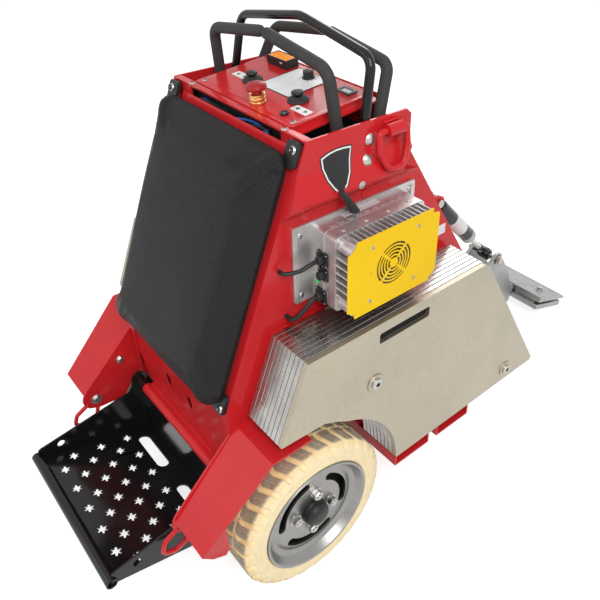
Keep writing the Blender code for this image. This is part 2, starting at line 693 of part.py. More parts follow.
def build_tray():
    """The folding step: a floor with rows of grip holes, wedge sides and a front wall."""
    half = TRAY_HALF
    holes = []
    for row in range(STAR_ROWS):
        count = 5 + row % 2
        for i in range(count):
            place = (STAR_START + row * STAR_PITCH / 2, (i - (count - 1) / 2) * STAR_PITCH)
            holes.append(circle(place, STAR_RADIUS * 0.85, 6))
    for side in (1, -1):
        y0, y1 = sorted((side * 0.034, side * 0.149))
        holes.append(rounded_box(TRAY_DEPTH - 0.050, TRAY_DEPTH - 0.022, y0, y1, 0.0135, 4))
    floor = [(0.004, -half + 0.001), (TRAY_DEPTH, -half + 0.001), (TRAY_DEPTH, half - 0.001),
             (0.004, half - 0.001)]
    meshes = [flat_mesh("floor", [floor] + holes, "Z", -TRAY_WALL, 0.0)]
    for mesh in meshes:
        mesh.transform(tray_matrix())
    tray = welded_piece("platform_tray", meshes, BLACK_PAINT)
    front = tray_matrix() @ Vector((TRAY_DEPTH, 0, 0))
    rear_top = TRAY_REAR[1] + 0.022
    side_shape = [(TRAY_REAR[0] + 0.002, TRAY_REAR[1] - 0.006), (TRAY_REAR[0] + 0.002, rear_top - 0.010),
                  (TRAY_REAR[0] + 0.012, rear_top), (-0.160, 0.228), (-0.146, 0.250),
                  *arc(HINGE, 0.019, 175, 0, 8), (front.x + 0.002, HINGE[1] - 0.03),
                  (front.x + 0.002, front.z - 0.004)]
    for side in (1, -1):
        low, high = along_y(side, half - TRAY_WALL, half)
        holes = [circle((-0.332, 0.1815), 0.0085, 12)]
        combine(tray, flat_mesh("tray_side", [side_shape] + holes, "Y", low, high), "UNION")
        pin = cone_mesh("pin", (HINGE[0], side * (HINGE_TUBE_HALF + GAP), HINGE[1]),
                        (HINGE[0], side * (half - 0.001), HINGE[1]), 0.0105)
        combine(tray, pin, "UNION")
    wall = box_mesh("front_wall", (front.x - 0.002, -half + 0.001, front.z - 0.003),
                    (front.x + 0.002, half - 0.001, HINGE[1] - 0.030))
    combine(tray, wall, "UNION")
    x, z = TRAY_REAR
    tube = cone_mesh("rear_tube", (x, -0.194, z), (x, 0.194, z), REAR_TUBE_RADIUS)
    combine(tray, tube, "UNION")
    set_pivot(tray, (HINGE[0], 0, HINGE[1]))


# ---------------------------------------------------------------- pad


def pad_matrix():
    """Pad frame: origin at the top of the body's rear edge, x to the right of the machine's left,
    y up along the slope, z out towards the operator."""
    angle = rear_angle()
    up = Vector((math.sin(angle), 0, math.cos(angle)))
    out = Vector((-math.cos(angle), 0, math.sin(angle)))
    across = up.cross(out)
    base = Vector((REAR_TOP_X, 0, BODY_TOP))
    return Matrix(((across.x, up.x, out.x, base.x), (across.y, up.y, out.y, base.y),
                   (across.z, up.z, out.z, base.z), (0, 0, 0, 1)))


def pad_outline(inset, bottom, top):
    """A rectangle with small upper corners and large lower ones."""
    half, low, high = PAD_HALF - inset, bottom + inset, top - inset
    small, large = PAD_TOP_CORNER - inset, PAD_CORNER - inset
    return (arc((half - small, high - small), small, 0, 90, 6)
            + arc((small - half, high - small), small, 90, 180, 6)
            + arc((large - half, low + large), large, 180, 270, 6)
            + arc((half - large, low + large), large, 270, 360, 6))


def build_pad():
    """The board with its four corner mounts and bolts, and the padded cushion in front of it."""
    frame = pad_matrix()
    top = -PAD_TOP_OFFSET
    bottom = top - PAD_LENGTH
    outline = rounded_box(-PAD_HALF + 0.012, PAD_HALF - 0.012, bottom + 0.012, top - 0.006, 0.034)
    board_thick = 0.010
    meshes = [flat_mesh("pad_board", [outline], "Z", GAP, board_thick)]
    corners = ((0.182, 0.214, -0.052, -0.006, 0.202, -0.0215),
               (0.174, 0.209, bottom + 0.002, bottom + 0.040, 0.1985, bottom + 0.0130))
    for side in (1, -1):
        for x0, x1, y0, y1, bolt_x, bolt_y in corners:
            left, right = sorted((side * x0, side * x1))
            outline = rounded_box(left, right, y0, y1, 0.006, 3)
            meshes.append(flat_mesh("mount", [outline], "Z", GAP + 0.0003, 0.0093))
            meshes.append(cone_mesh("bolt", (side * bolt_x, bolt_y, 0.0085), (side * bolt_x, bolt_y, 0.0155),
                                    0.0078, 0.0052, 12))
    for mesh in meshes:
        mesh.transform(frame)
    welded_piece("pad_board", meshes, BLACK_PLASTIC)
    start = board_thick + GAP
    rings = []
    for share, inset in ((0.0, 0.004), (0.55, 0.0), (0.85, 0.006), (1.0, 0.018)):
        ring = pad_outline(inset, bottom, top)
        height = start + share * (PAD_THICK - start)
        rings.append([(a, b, height) for a, b in ring])
    mesh = loft_mesh("back_pad", rings)
    mesh.transform(frame)
    new_object("back_pad", mesh, PAD_VINYL)


# ---------------------------------------------------------------- controls


def panel_z(x):
    return PANEL_REAR[1] + PANEL_SLOPE * (x - PANEL_REAR[0])


def panel_matrix(x, y):
    """A frame on the panel's face at a place, with its z square to the face."""
    return (Matrix.Translation((x, y, panel_z(x)))
            @ Matrix.Rotation(-math.atan(PANEL_SLOPE), 4, "Y"))


def build_panel():
    matrix = panel_matrix(PANEL_REAR[0], 0)
    half = PANEL_HALF
    outer = rounded_box(0.0, PANEL_LENGTH, -half, half, 0.006, 2)
    panel = flat_piece("control_panel", [outer], "Z", -PANEL_SKIRT, 0.0, RED)
    inner = rounded_box(0.003, PANEL_LENGTH - 0.003, -half + 0.003, half - 0.003, 0.004, 2)
    combine(panel, flat_mesh("hollow", [inner], "Z", -PANEL_SKIRT - 0.01, -0.003), "DIFFERENCE")
    rim = [rounded_box(-0.0015, PANEL_LENGTH + 0.008, -half - 0.008, half + 0.008, 0.008, 2),
           rounded_box(0.0012, PANEL_LENGTH - 0.0012, -half + 0.0012, half - 0.0012, 0.005, 2)]
    combine(panel, flat_mesh("rim", [rim[0], rim[1]], "Z", -PANEL_SKIRT - 0.0005, -PANEL_SKIRT + 0.003),
            "UNION")
    for obj in [panel] + [o for o in CUTTERS.objects if o.name.startswith("control_panel")]:
        obj.data.transform(matrix)
    for side, _ in SIDES:
        screw = on_panel(cone_mesh("screw", (0, 0, -0.001), (0, 0, 0.0025), 0.0058, 0.0040, 12), 0.101,
                         side * 0.1445)
        combine(panel, screw, "UNION")


def on_panel(mesh, x, y):
    mesh.transform(panel_matrix(x, y))
    return mesh


def build_panel_devices():
    x, y = ESTOP
    rings = [circle((0, 0), ESTOP_COLLAR, 20), circle((0, 0), ESTOP_STEM + 2 * GAP, 16)]
    collar = on_panel(flat_mesh("collar", rings, "Z", GAP, 0.019), x, y)
    new_object("estop_collar", collar, BRASS)
    profile = [(0.0, 0.040), (0.010, 0.0395), (0.0175, 0.037), (0.0200, 0.032), (0.0190, 0.028),
               (0.0120, 0.0262), (ESTOP_STEM, 0.0262), (ESTOP_STEM, 0.0075), (0.0, 0.0075)]
    button = on_panel(turned_mesh("estop_button", profile, 18), x, y)
    set_pivot(new_object("estop_button", button, STOP_RED), tuple(panel_matrix(x, y).translation))
    for side, tag in SIDES:
        x, y = JOYSTICK_X, JOYSTICK_MIDDLE + side * JOYSTICK_Y
        stem = 0.0035
        profile = [(0.0, 0.0190), (0.0105, 0.0185), (0.0120, 0.0160), (0.0110, 0.0130), (stem, 0.0118),
                   (stem, 0.0009), (0.0, 0.0009)]
        stick = on_panel(turned_mesh("joystick_" + tag, profile, 14), x, y)
        set_pivot(new_object("joystick_" + tag, stick, BLACK_PLASTIC),
                  tuple(panel_matrix(x, y) @ Vector((0, 0, 0.0009))))
        bore = stem + 0.0025
        profile = [(bore, 0.0088), (0.0095, 0.0088), (0.0145, 0.0070), (0.0140, 0.0062), (0.0178, 0.0048),
                   (0.0172, 0.0040), (0.0205, 0.0026), (0.0205, GAP), (bore, GAP), (bore, 0.0088)]
        boot = on_panel(turned_mesh("joystick_boot_" + tag, profile, 18), x, y)
        new_object("joystick_boot_" + tag, boot, GRIP_RUBBER)
    x, y = KNOB
    profile = [(0.0, 0.0165), (0.0085, 0.0165), (0.0100, 0.0150), (0.0105, 0.0060), (0.0130, 0.0030),
               (0.0130, GAP), (0.0, GAP)]
    knob = on_panel(turned_mesh("speed_knob", profile, 20), x, y)
    pointer = on_panel(box_mesh("pointer", (0.0102, -0.0010, 0.0062), (0.0124, 0.0010, 0.0140)), x, y)
    piece = new_object("speed_knob", knob, BLACK_PLASTIC)
    combine(piece, pointer, "UNION")
    set_pivot(piece, tuple(panel_matrix(x, y).translation))
    x, y = KEY
    ring = on_panel(turned_mesh("key_switch", [(0.0, 0.0030), (0.0045, 0.0030), (0.0070, 0.0042),
                                               (0.0085, 0.0030), (0.0085, GAP), (0.0, GAP)], 20), x, y)
    set_pivot(new_object("key_switch", ring, BRIGHT_STEEL), tuple(panel_matrix(x, y).translation))
    gauge = on_panel(box_mesh("battery_gauge", (-0.016, -0.034, GAP), (0.016, 0.034, 0.018)), 0.253, 0.088)
    new_object("battery_gauge", gauge, BLACK_PLASTIC)
    meter = on_panel(box_mesh("hour_meter", (-0.0115, -0.0185, GAP), (0.0115, 0.0185, 0.0030)), 0.2465,
                     -0.118)
    new_object("hour_meter", meter, BLACK_PLASTIC)


def build_handles():
    """Fixed guard loop, and two drive levers that each carry a rear and a front grip."""
    foot = (0.2045, BODY_HALF - WALL - GUARD_RADIUS - GAP, 0.856)
    legs = [foot, (0.213, foot[1], 0.940), (0.231, 0.199, 1.046)]
    left = [(x, y, z) for x, y, z in legs]
    right = [(x, -y, z) for x, y, z in reversed(legs)]
    path = soften(left + [(0.234, 0.0, 1.080)] + right, (0.05, 0.030, 0.10, 0.030, 0.05), 4)
    new_object("guard_loop", tube_mesh("guard_loop", path, GUARD_RADIUS, False, 2), BLACK_PAINT)
    yoke_top = LEVER_PIVOT[1] + 0.036
    for side, tag in SIDES:
        rear = [(0.172, side * LEVER_Y, yoke_top - 0.008), (0.163, side * LEVER_Y, 0.935),
                (0.1505, side * 0.178, 1.0365), (0.147, side * 0.0025, 1.0645)]
        front = [(0.255, side * LEVER_Y, yoke_top - 0.008), (0.266, side * LEVER_Y, 0.935),
                 (0.298, side * 0.172, 1.016), (0.299, side * 0.0025, 1.041)]
        tubes = [tube_mesh("rear_grip", soften(rear, (0.06, 0.030), 4), GRIP_RADIUS, False, 2),
                 tube_mesh("front_grip", soften(front, (0.06, 0.026), 4), GRIP_RADIUS, False, 2)]
        yoke = [(0.158, yoke_top), (0.158, yoke_top - 0.012), *arc(LEVER_PIVOT, 0.016, 200, 340, 6),
                (0.270, yoke_top - 0.012), (0.270, yoke_top)]
        low, high = along_y(side, LEVER_Y - 0.008, LEVER_Y + 0.008)
        base = flat_mesh("yoke", [yoke, circle(LEVER_PIVOT, 0.0080 + GAP, 16)], "Y", low, high)
        lever = welded_piece("drive_lever_" + tag, [base] + tubes, GRIP_RUBBER)
        set_pivot(lever, (LEVER_PIVOT[0], side * LEVER_Y, LEVER_PIVOT[1]))


def build_d_rings():
    axis_y, axis_z = RING_AXIS
    x0, x1 = RING_SLEEVE
    for side, tag in SIDES:
        shoulder, low_y = side * (axis_y + 0.0040), side * (axis_y + 0.0120)
        middle = ((x0 + x1) / 2, side * axis_y, axis_z)
        bow = [middle, (x0 - 0.0185, side * axis_y, axis_z), (x0 - 0.0200, shoulder, axis_z - 0.036),
               (x0 - 0.0020, low_y, axis_z - 0.0715), (x1 - 0.0040, low_y, axis_z - 0.0715),
               (x1 + 0.0120, shoulder, axis_z - 0.036), (x1 + 0.0110, side * axis_y, axis_z), middle]
        path = soften(bow, (0.008, 0.026, 0.020, 0.020, 0.026, 0.008), 4)[:-1]
        ring = tube_mesh("d_ring_" + tag, path, RING_ROD, True, 2)
        set_pivot(new_object("d_ring_" + tag, ring, RED), ((x0 + x1) / 2, side * axis_y, axis_z))


# ---------------------------------------------------------------- charger


def build_charger():
    wall_y = LOWER_HALF + GAP
    inner_y = wall_y + HOUSING_DEPTH
    x0, x1 = CHARGER_REAR_X + 0.001, CHARGER_FRONT_X - 0.004
    z0, z1 = CHARGER_BOTTOM + 0.002, CHARGER_TOP - 0.001
    low, high = along_y(-1, wall_y, inner_y)
    housing = flat_piece("charger_housing", [rounded_box(x0, x1, z0, z1, 0.010, 3)], "Y", low, high,
                         CAST_ALLOY)
    low, high = along_y(-1, wall_y, wall_y + 0.006)
    flange = rounded_box(x0 - 0.046, x1 + 0.036, z0 + 0.004, z1 + 0.008, 0.006, 2)
    combine(housing, flat_mesh("flange", [flange], "Y", low, high), "UNION")
    fin_low, fin_high = along_y(-1, inner_y + GAP, CHARGER_OUTER_Y - 0.0015 - GAP)
    count, pitch = 17, (x1 - x0 - 0.028) / 17
    top, root = z1 - 0.002, z1 - 0.022
    upper = []
    for i in range(count):
        left = x0 + 0.014 + i * pitch
        upper += [(left, root), (left, top), (left + 0.0035, top), (left + 0.0035, root)]
    rows, rise = 7, (z1 - z0 - 0.044) / 7
    right_side, left_side = [], []
    for i in range(rows):
        base = z1 - 0.026 - i * rise
        right_side += [(x1 - 0.022, base), (x1 - 0.002, base), (x1 - 0.002, base - 0.004),
                       (x1 - 0.022, base - 0.004)]
        base = z0 + 0.022 + i * rise
        left_side += [(x0 + 0.022, base), (x0 + 0.002, base), (x0 + 0.002, base + 0.004),
                      (x0 + 0.022, base + 0.004)]
    lower = [(x1 - 0.022, z0 + 0.003), (x0 + 0.022, z0 + 0.003)]
    outline = upper + right_side + lower + left_side
    flat_piece("charger_fin_block", [outline, circle(FAN_CENTRE, FAN_RADIUS + 0.002, 28)], "Y", fin_low,
               fin_high, CAST_ALLOY)
    build_fan_cover()
    build_fan(fin_low, fin_high)
    build_charger_leads(housing, x0)


def fan_cover_outline():
    x0, x1, z0, z1 = CHARGER_REAR_X - 0.001, CHARGER_FRONT_X + 0.001, CHARGER_BOTTOM, CHARGER_TOP
    cut_x, cut_z = 0.018, 0.020
    notch = arc((x0, z1), cut_z, 270, 360, 5)
    return (notch + [(x1 - cut_x, z1), (x1 - cut_x, z1 - 0.010), (x1, z1 - 0.014), (x1, z0 + cut_z),
                     (x1 - 0.007, z0 + cut_z - 0.006), (x1 - 0.017, z0 + 0.006), (x1 - cut_x, z0),
                     (x0 + cut_x, z0), (x0 + cut_x - 0.003, z0 + 0.012), (x0, z0 + cut_z)])


def build_fan_cover():
    """The cover plate with a grille: rings of slots between spokes."""
    low, high = along_y(-1, CHARGER_OUTER_Y - 0.0015, CHARGER_OUTER_Y)
    holes = []
    for inner, outer in ((0.017, 0.0245), (0.0285, 0.0345), (0.0385, 0.0440)):
        for k in range(4):
            start, stop = k * 90 + 52, k * 90 + 128
            holes.append(arc(FAN_CENTRE, outer, start, stop, 5) + arc(FAN_CENTRE, inner, stop, start, 5))
    flat_piece("charger_fan_cover", [fan_cover_outline()] + holes, "Y", low, high, YELLOW_PAINT)


def build_fan(low, high):
    """Seven blades on a hub, inside the fin block, turning about the fan's own axis."""
    x, z = FAN_CENTRE
    depth0, depth1 = low + 0.008, high
    fan = new_object("charger_fan", cone_mesh("hub", (x, depth0, z), (x, depth1, z), 0.016, None, 16),
                     BLACK_PLASTIC)
    blades = []
    for i in range(7):
        blade = box_mesh("blade", (0.014, -0.007, -0.0010), (FAN_RADIUS - 0.004, 0.007, 0.0010))
        twist = Matrix.Rotation(math.radians(35), 4, "X")
        turn = Matrix.Rotation(2 * math.pi * i / 7, 4, "Y")
        blade.transform(Matrix.Translation((x, (depth0 + depth1) / 2, z)) @ turn @ twist)
        blades.append(blade)
    combine(fan, join_meshes("blades", blades), "UNION")
    set_pivot(fan, (x, (depth0 + depth1) / 2, z))


def build_charger_leads(housing, face):
    """Cable glands, the lamp and the lead boot on the housing, and the two cables."""
    for y, z, half in ((0.243, 0.722, 0.0150), (0.245, 0.690, 0.0130), (0.239, 0.640, 0.0150)):
        flange = box_mesh("gland_flange", (face - 0.004, -y - half, z - half),
                          (face + 0.002, -y + half, z + half))
        combine(housing, flange, "UNION")
        neck = cone_mesh("gland", (face - 0.002, -y, z), (face - 0.014, -y, z), 0.0100, 0.0085, 14)
        combine(housing, neck, "UNION")
    lamp = cone_mesh("lamp", (face + 0.001, -0.226, 0.664), (face - 0.003, -0.226, 0.664), 0.0035, 0.0025, 10)
    combine(housing, lamp, "UNION")
    boot = cone_mesh("boot", (0.180, -0.2238, 0.772), (0.1229, -0.2485, 0.8437), 0.0088, 0.0055, 14)
    combine(housing, boot, "UNION")
    start = face - 0.014 - GAP
    upper = [(start, -0.243, 0.722), (start - 0.012, -0.2430, 0.7220), (start - 0.030, -0.2405, 0.7150),
             (start - 0.046, -0.2320, 0.7110), (start - 0.0600, -0.2230, 0.7100),
             (start - 0.0600, -0.2104, 0.7100)]
    lower = [(start, -0.239, 0.640), (start - 0.010, -0.2390, 0.6400), (start - 0.024, -0.2385, 0.6270),
             (start - 0.040, -0.2350, 0.6130), (start - 0.048, -0.2270, 0.6060),
             (start - 0.048, -0.2104, 0.6060)]
    new_object("charger_cable_upper", tube_mesh("charger_cable_upper", soften(
        upper, (0.02, 0.04, 0.02, 0.006), 3), 0.0040, resolution=2), BLACK_PLASTIC)
    new_object("charger_cable_lower", tube_mesh("charger_cable_lower", soften(
        lower, (0.02, 0.03, 0.010, 0.006), 3), 0.0045, resolution=2), BLACK_PLASTIC)


# ---------------------------------------------------------------- wheels and inside units


def y_axis_matrix(side, y):
    """Turned pieces are made about Z; this lays them along Y with their top outwards."""
    turn = Matrix.Rotation(math.radians(-90 * side), 4, "X")
    return Matrix.Translation((0, side * y, TYRE_RADIUS)) @ turn


def build_wheel(side, tag):
    out = WHEEL_OUTER_Y
    matrix = y_axis_matrix(side, out)
    width = TYRE_WIDTH
    rim = RIM_RADIUS + GAP
    tyre = [(rim, -0.003), (rim + 0.012, 0.0), (TYRE_RADIUS - 0.018, -0.001), (TYRE_RADIUS - 0.005, -0.008),
            (TYRE_RADIUS, -0.018), (TYRE_RADIUS, -width + 0.018), (TYRE_RADIUS - 0.005, -width + 0.008),
            (TYRE_RADIUS - 0.018, -width + 0.001), (rim, -width), (rim, -0.003)]
    centre = (0, side * out, TYRE_RADIUS)
    set_pivot(new_object("tyre_" + tag, turned_mesh("tyre_" + tag, tyre, 32, matrix), TYRE_RUBBER), centre)
    r = RIM_RADIUS
    disc = -RIM_INSET - 0.004
    rim_profile = [(r, 0.002), (r - 0.005, 0.002), (r - 0.008, -0.004), (r - 0.012, -0.014), (0.100, -0.021),
                   (0.092, disc), (HUB_CAP_RADIUS, disc), (HUB_CAP_RADIUS, disc + 0.008),
                   (0.0265, disc + 0.015), (0.022, disc + 0.021), (0.013, disc + 0.0235),
                   (0.0, disc + 0.024), (0.0, disc - 0.034), (0.045, disc - 0.034),
                   (0.045, disc - 0.006), (0.088, disc - 0.006), (0.098, -0.030), (r - 0.014, -0.034),
                   (r - 0.014, -width + 0.006), (r, -width), (r, 0.002)]
    wheel = new_object("wheel_rim_" + tag, turned_mesh("wheel_rim_" + tag, rim_profile, 32, matrix),
                       CAST_ALLOY)
    slots = []
    for i in range(3):
        middle = 20 + i * 120
        inner, outer = 0.073, 0.086
        ring = (arc((0, 0), outer, middle - 38, middle + 38, 8)
                + arc(((inner + outer) / 2 * math.cos(math.radians(middle + 38)),
                       (inner + outer) / 2 * math.sin(math.radians(middle + 38))),
                      (outer - inner) / 2, middle + 38 + 45, middle + 38 + 135, 2)
                + arc((0, 0), inner, middle + 38, middle - 38, 8))
        slot = flat_mesh("slot", [ring], "Z", disc - 0.02, disc + 0.02)
        slot.transform(matrix)
        slots.append(slot)
    combine(wheel, join_meshes("slots", slots), "DIFFERENCE")
    meshes = []
    face = disc - 0.0005
    for i in range(4):
        angle = math.radians(NUT_START + 90 * i)
        x, y = LUG_CIRCLE * math.cos(angle), LUG_CIRCLE * math.sin(angle)
        meshes.append(cone_mesh("nut", (x, y, face), (x, y, face + 0.011), 0.0105, 0.0095, 6))
    for mesh in meshes:
        mesh.transform(matrix)
        combine(wheel, mesh, "UNION")
    set_pivot(wheel, centre)


def build_inside_units():
    for side, tag in SIDES:
        inner = WHEEL_OUTER_Y - RIM_INSET - 0.004 - 0.034 - GAP
        motor = cone_mesh("motor", (0, side * 0.060, TYRE_RADIUS), (0, side * 0.196, TYRE_RADIUS), 0.048)
        shaft = cone_mesh("shaft", (0, side * 0.190, TYRE_RADIUS), (0, side * inner, TYRE_RADIUS), 0.030)
        low, high = along_y(side, 0.080, 0.180)
        seat = box_mesh("seat", (-0.045, low, TYRE_RADIUS + 0.025), (0.045, high, BELLY_TOP - BELLY_PLATE - GAP))
        welded_piece("gear_motor_" + tag, [motor, shaft, seat], BLACK_PAINT)
    top = BELLY_TOP + GAP
    battery = box_mesh("battery_pack", (-0.060, -0.185, top), (0.290, 0.185, top + 0.215))
    new_object("battery_pack", battery, BLACK_PLASTIC)
    pump = cone_mesh("pump", (0.345, 0.0, top + 0.052), (0.500, 0.0, top + 0.052), 0.050)
    tank = box_mesh("tank", (0.330, 0.060, top), (0.520, 0.190, top + 0.090))
    saddle = box_mesh("saddle", (0.330, -0.150, top), (0.520, 0.070, top + 0.020))
    welded_piece("hydraulic_unit", [saddle, pump, tank], BLACK_PAINT)


# ---------------------------------------------------------------- front tool


def slope_x(z):
    """The outer face of the sloping front cover at a height."""
    run = FRONT_LOW[0] - 0.012 - 0.300
    return 0.300 + (0.846 - z) * run / (0.846 - FRONT_LOW[1] + 0.008)


def build_front_tool():
    nose = FRONT_LOW[0] - 0.012 + GAP
    x, z = ARM_PIVOT
    cheek = [(nose, z + 0.085), (nose, z + 0.0360), (x - 0.030, z - 0.030), (x, z - 0.032),
             *arc(ARM_PIVOT, 0.032, -60, 70, 5), (x - 0.030, z + 0.085)]
    pin = cone_mesh("pivot_pin", (x, -ARM_OUTER - 0.016, z), (x, ARM_OUTER + 0.016, z), 0.0122, None, 20)
    meshes = [pin]
    for side, _ in SIDES:
        low, high = along_y(side, ARM_OUTER + GAP, ARM_OUTER + 0.011)
        meshes.append(flat_mesh("cheek", [cheek], "Y", low, high))
    welded_piece("arm_bracket", meshes, RED)
    x, z = CYLINDER_MOUNT
    ear = [(slope_x(z + 0.055) + 0.0006, z + 0.055), (slope_x(z - 0.060) + 0.0006, z - 0.060),
           (x + 0.004, z - 0.020), *arc(CYLINDER_MOUNT, 0.020, -70, 80, 4)]
    meshes = [cone_mesh("cylinder_pin", (x, -0.028, z), (x, 0.028, z), 0.0082, None, 16)]
    for side in (1, -1):
        low, high = along_y(side, 0.0148, 0.0235)
        meshes.append(flat_mesh("ear", [ear], "Y", low, high))
    welded_piece("cylinder_mount", meshes, RED)
    build_lift_arm()
    build_cylinder()
    build_blade_head()


def build_lift_arm():
    """Two zinc plates from the pivot to the hub, tied by a hub block and the rod's pin."""
    x, z = ARM_PIVOT
    shape = [(x - 0.018, z + 0.022), (x - 0.026, z), (x - 0.018, z - 0.020), (x, z - 0.028),
             (HUB[0] - 0.110, HUB[1] + 0.010), (HUB[0] - 0.050, HUB[1] - 0.014),
             (HUB[0] - 0.030, HUB[1] - 0.006), (HUB[0] - 0.024, HUB[1] + 0.034),
             (HUB[0] - 0.060, HUB[1] + 0.120), *arc(ARM_PIN, 0.021, 0, 150, 6),
             (ARM_PIN[0] - 0.050, ARM_PIN[1] - 0.010)]
    meshes = []
    for side in (1, -1):
        low, high = along_y(side, ARM_OUTER - ARM_WALL, ARM_OUTER)
        meshes.append(flat_mesh("arm_plate", [shape, circle(ARM_PIVOT, 0.0128, 16)], "Y", low, high))
    pin = cone_mesh("rod_pin", (ARM_PIN[0], -ARM_OUTER - 0.005, ARM_PIN[1]),
                    (ARM_PIN[0], ARM_OUTER + 0.005, ARM_PIN[1]), 0.0080, None, 16)
    spread = ARM_OUTER - 0.002
    block = box_mesh("hub_block", (-0.064, -spread, -0.024), (-0.024, spread, 0.026), head_frame())
    arm = welded_piece("lift_arm", [pin, block] + meshes, BRIGHT_STEEL)
    set_pivot(arm, (x, 0, z))


def build_cylinder():
    """Barrel and rod between the body's ears and the arm's pin."""
    base = Vector((CYLINDER_MOUNT[0], 0, CYLINDER_MOUNT[1]))
    tip = Vector((ARM_PIN[0], 0, ARM_PIN[1]))
    along = (tip - base).normalized()
    reach = (tip - base).length
    pitch = math.atan2(-along.z, along.x)
    frame = Matrix.Translation(base) @ Matrix.Rotation(pitch, 4, "Y")
    eye = [rounded_box(-0.015, 0.040, -0.015, 0.015, 0.014, 4), circle((0, 0), 0.0086, 14)]
    lug = flat_mesh("barrel_eye", eye, "Y", -0.0145, 0.0145)
    lug.transform(frame)
    barrel = new_object("cylinder_barrel", lug, BLACK_PAINT)
    bore, rod, start, end = 0.0082, 0.0075, 0.034, 0.248
    profile = [(bore, end), (0.021, end), (0.0225, end - 0.004), (0.0225, start + 0.004),
               (0.020, start), (0.0, start), (0.0, start + 0.030), (bore, start + 0.030), (bore, end)]
    body = turned_mesh("barrel", profile, 24, frame @ Matrix.Rotation(math.radians(90), 4, "Y"))
    combine(barrel, body, "UNION")
    set_pivot(barrel, tuple(base))
    shaft = turned_mesh("rod", [(0.0, reach - 0.026), (rod, reach - 0.026), (rod, start + 0.110),
                                (0.0, start + 0.110)], 16, frame @ Matrix.Rotation(math.radians(90), 4, "Y"))
    piston = new_object("cylinder_rod", shaft, BRIGHT_STEEL)
    fork = flat_mesh("rod_eye", [rounded_box(reach - 0.032, reach + 0.016, -0.016, 0.016, 0.014, 4),
                                 circle((reach, 0), 0.0080 + LINK_CLEARANCE, 16)], "Y", -0.012, 0.012)
    fork.transform(frame)
    combine(piston, fork, "UNION")
    set_pivot(piston, tuple(base))


def build_blade_head():
    """An upper and a lower jaw on a swivel boss; the blade slot between them is empty."""
    frame = head_frame()
    rear, front = HEAD_REAR, HEAD_REAR + HEAD_CHORD
    half_slot = JAW_SPACE / 2
    top = half_slot + JAW_THICK
    upper = flat_mesh("upper", [[(rear, half_slot), (rear, top), (front - 0.014, top),
                                 (front + 0.014, half_slot + 0.006), (front + 0.014, half_slot)]],
                      "Y", -HEAD_HALF, HEAD_HALF)
    meshes = [upper, cone_mesh("swivel", (-0.0237, 0, 0), (0.020, 0, 0), 0.0235, None, 24),
              box_mesh("neck", (0.010, -0.018, 0.004), (rear + 0.010, 0.018, 0.018))]
    for y in (-0.072, 0.072):
        meshes.append(cone_mesh("clamp_bolt", (0.100, y, top - 0.001), (0.100, y, top + 0.005), 0.0095,
                                0.0085, 6))
    lower = flat_mesh("lower", [[(rear - 0.008, -half_slot), (front - 0.002, -half_slot),
                                 (front - 0.002, -top), (rear - 0.008, -top)]], "Y", -HEAD_HALF, HEAD_HALF)
    spacer = box_mesh("spacer", (rear + 0.002, -HEAD_HALF + 0.02, -half_slot - 0.001),
                      (rear + 0.022, HEAD_HALF - 0.02, half_slot - GAP))
    for mesh in meshes + [lower, spacer]:
        mesh.transform(frame)
    set_pivot(welded_piece("blade_clamp_upper", meshes, BRIGHT_STEEL), (HUB[0], 0, HUB[1]))
    set_pivot(welded_piece("blade_clamp_lower", [lower, spacer], BRIGHT_STEEL), (HUB[0], 0, HUB[1]))


# ---------------------------------------------------------------- assembly


def centre_on_origin():
    """Move the machine so that the bottom centre of its box is the origin."""
    graph = bpy.context.evaluated_depsgraph_get()
    graph.update()
    lows, highs = [math.inf] * 3, [-math.inf] * 3
    for obj in PARTS.objects:
        evaluated = obj.evaluated_get(graph)
        mesh = evaluated.to_mesh()
        for vertex in mesh.vertices:
            place = evaluated.matrix_world @ vertex.co
            for axis in range(3):
                lows[axis] = min(lows[axis], place[axis])
                highs[axis] = max(highs[axis], place[axis])
        evaluated.to_mesh_clear()
    shift = Vector((-(lows[0] + highs[0]) / 2, -(lows[1] + highs[1]) / 2, -lows[2]))
    machine = bpy.data.objects.new("machine", None)
    bpy.context.scene.collection.objects.link(machine)
    machine.location = shift
    for obj in list(PARTS.objects) + list(CUTTERS.objects):
        obj.parent = machine
    print("machine box", [round(v, 5) for v in lows + highs], "shift", [round(v, 5) for v in shift])


def shade(obj):
    obj.data.shade_smooth()
    obj.data.set_sharp_from_angle(angle=math.radians(32))


def main():
    build_chassis()
    for side, tag in SIDES:
        build_side_plate(side, tag)
        build_weight_stack(side, tag)
        build_fender(side, tag)
        build_wheel(side, tag)
    build_front_cover()
    build_rear_lower_panel()
    build_rear_rails()
    build_cross_channels()
    build_tray()
    build_pad()
    build_panel()
    build_panel_devices()
    build_handles()
    build_d_rings()
    build_charger()
    build_inside_units()
    build_front_tool()
    for obj in PARTS.objects:
        shade(obj)
    centre_on_origin()


main()
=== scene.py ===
"""A battery stand-on floor stripper: its looks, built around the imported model.

Lengths are in metres. X points forward, Y to the machine's left and Z up. Places on the machine are
written from the wheel axle, and AXLE_X moves them to the model's own origin when a mesh is made.
"""

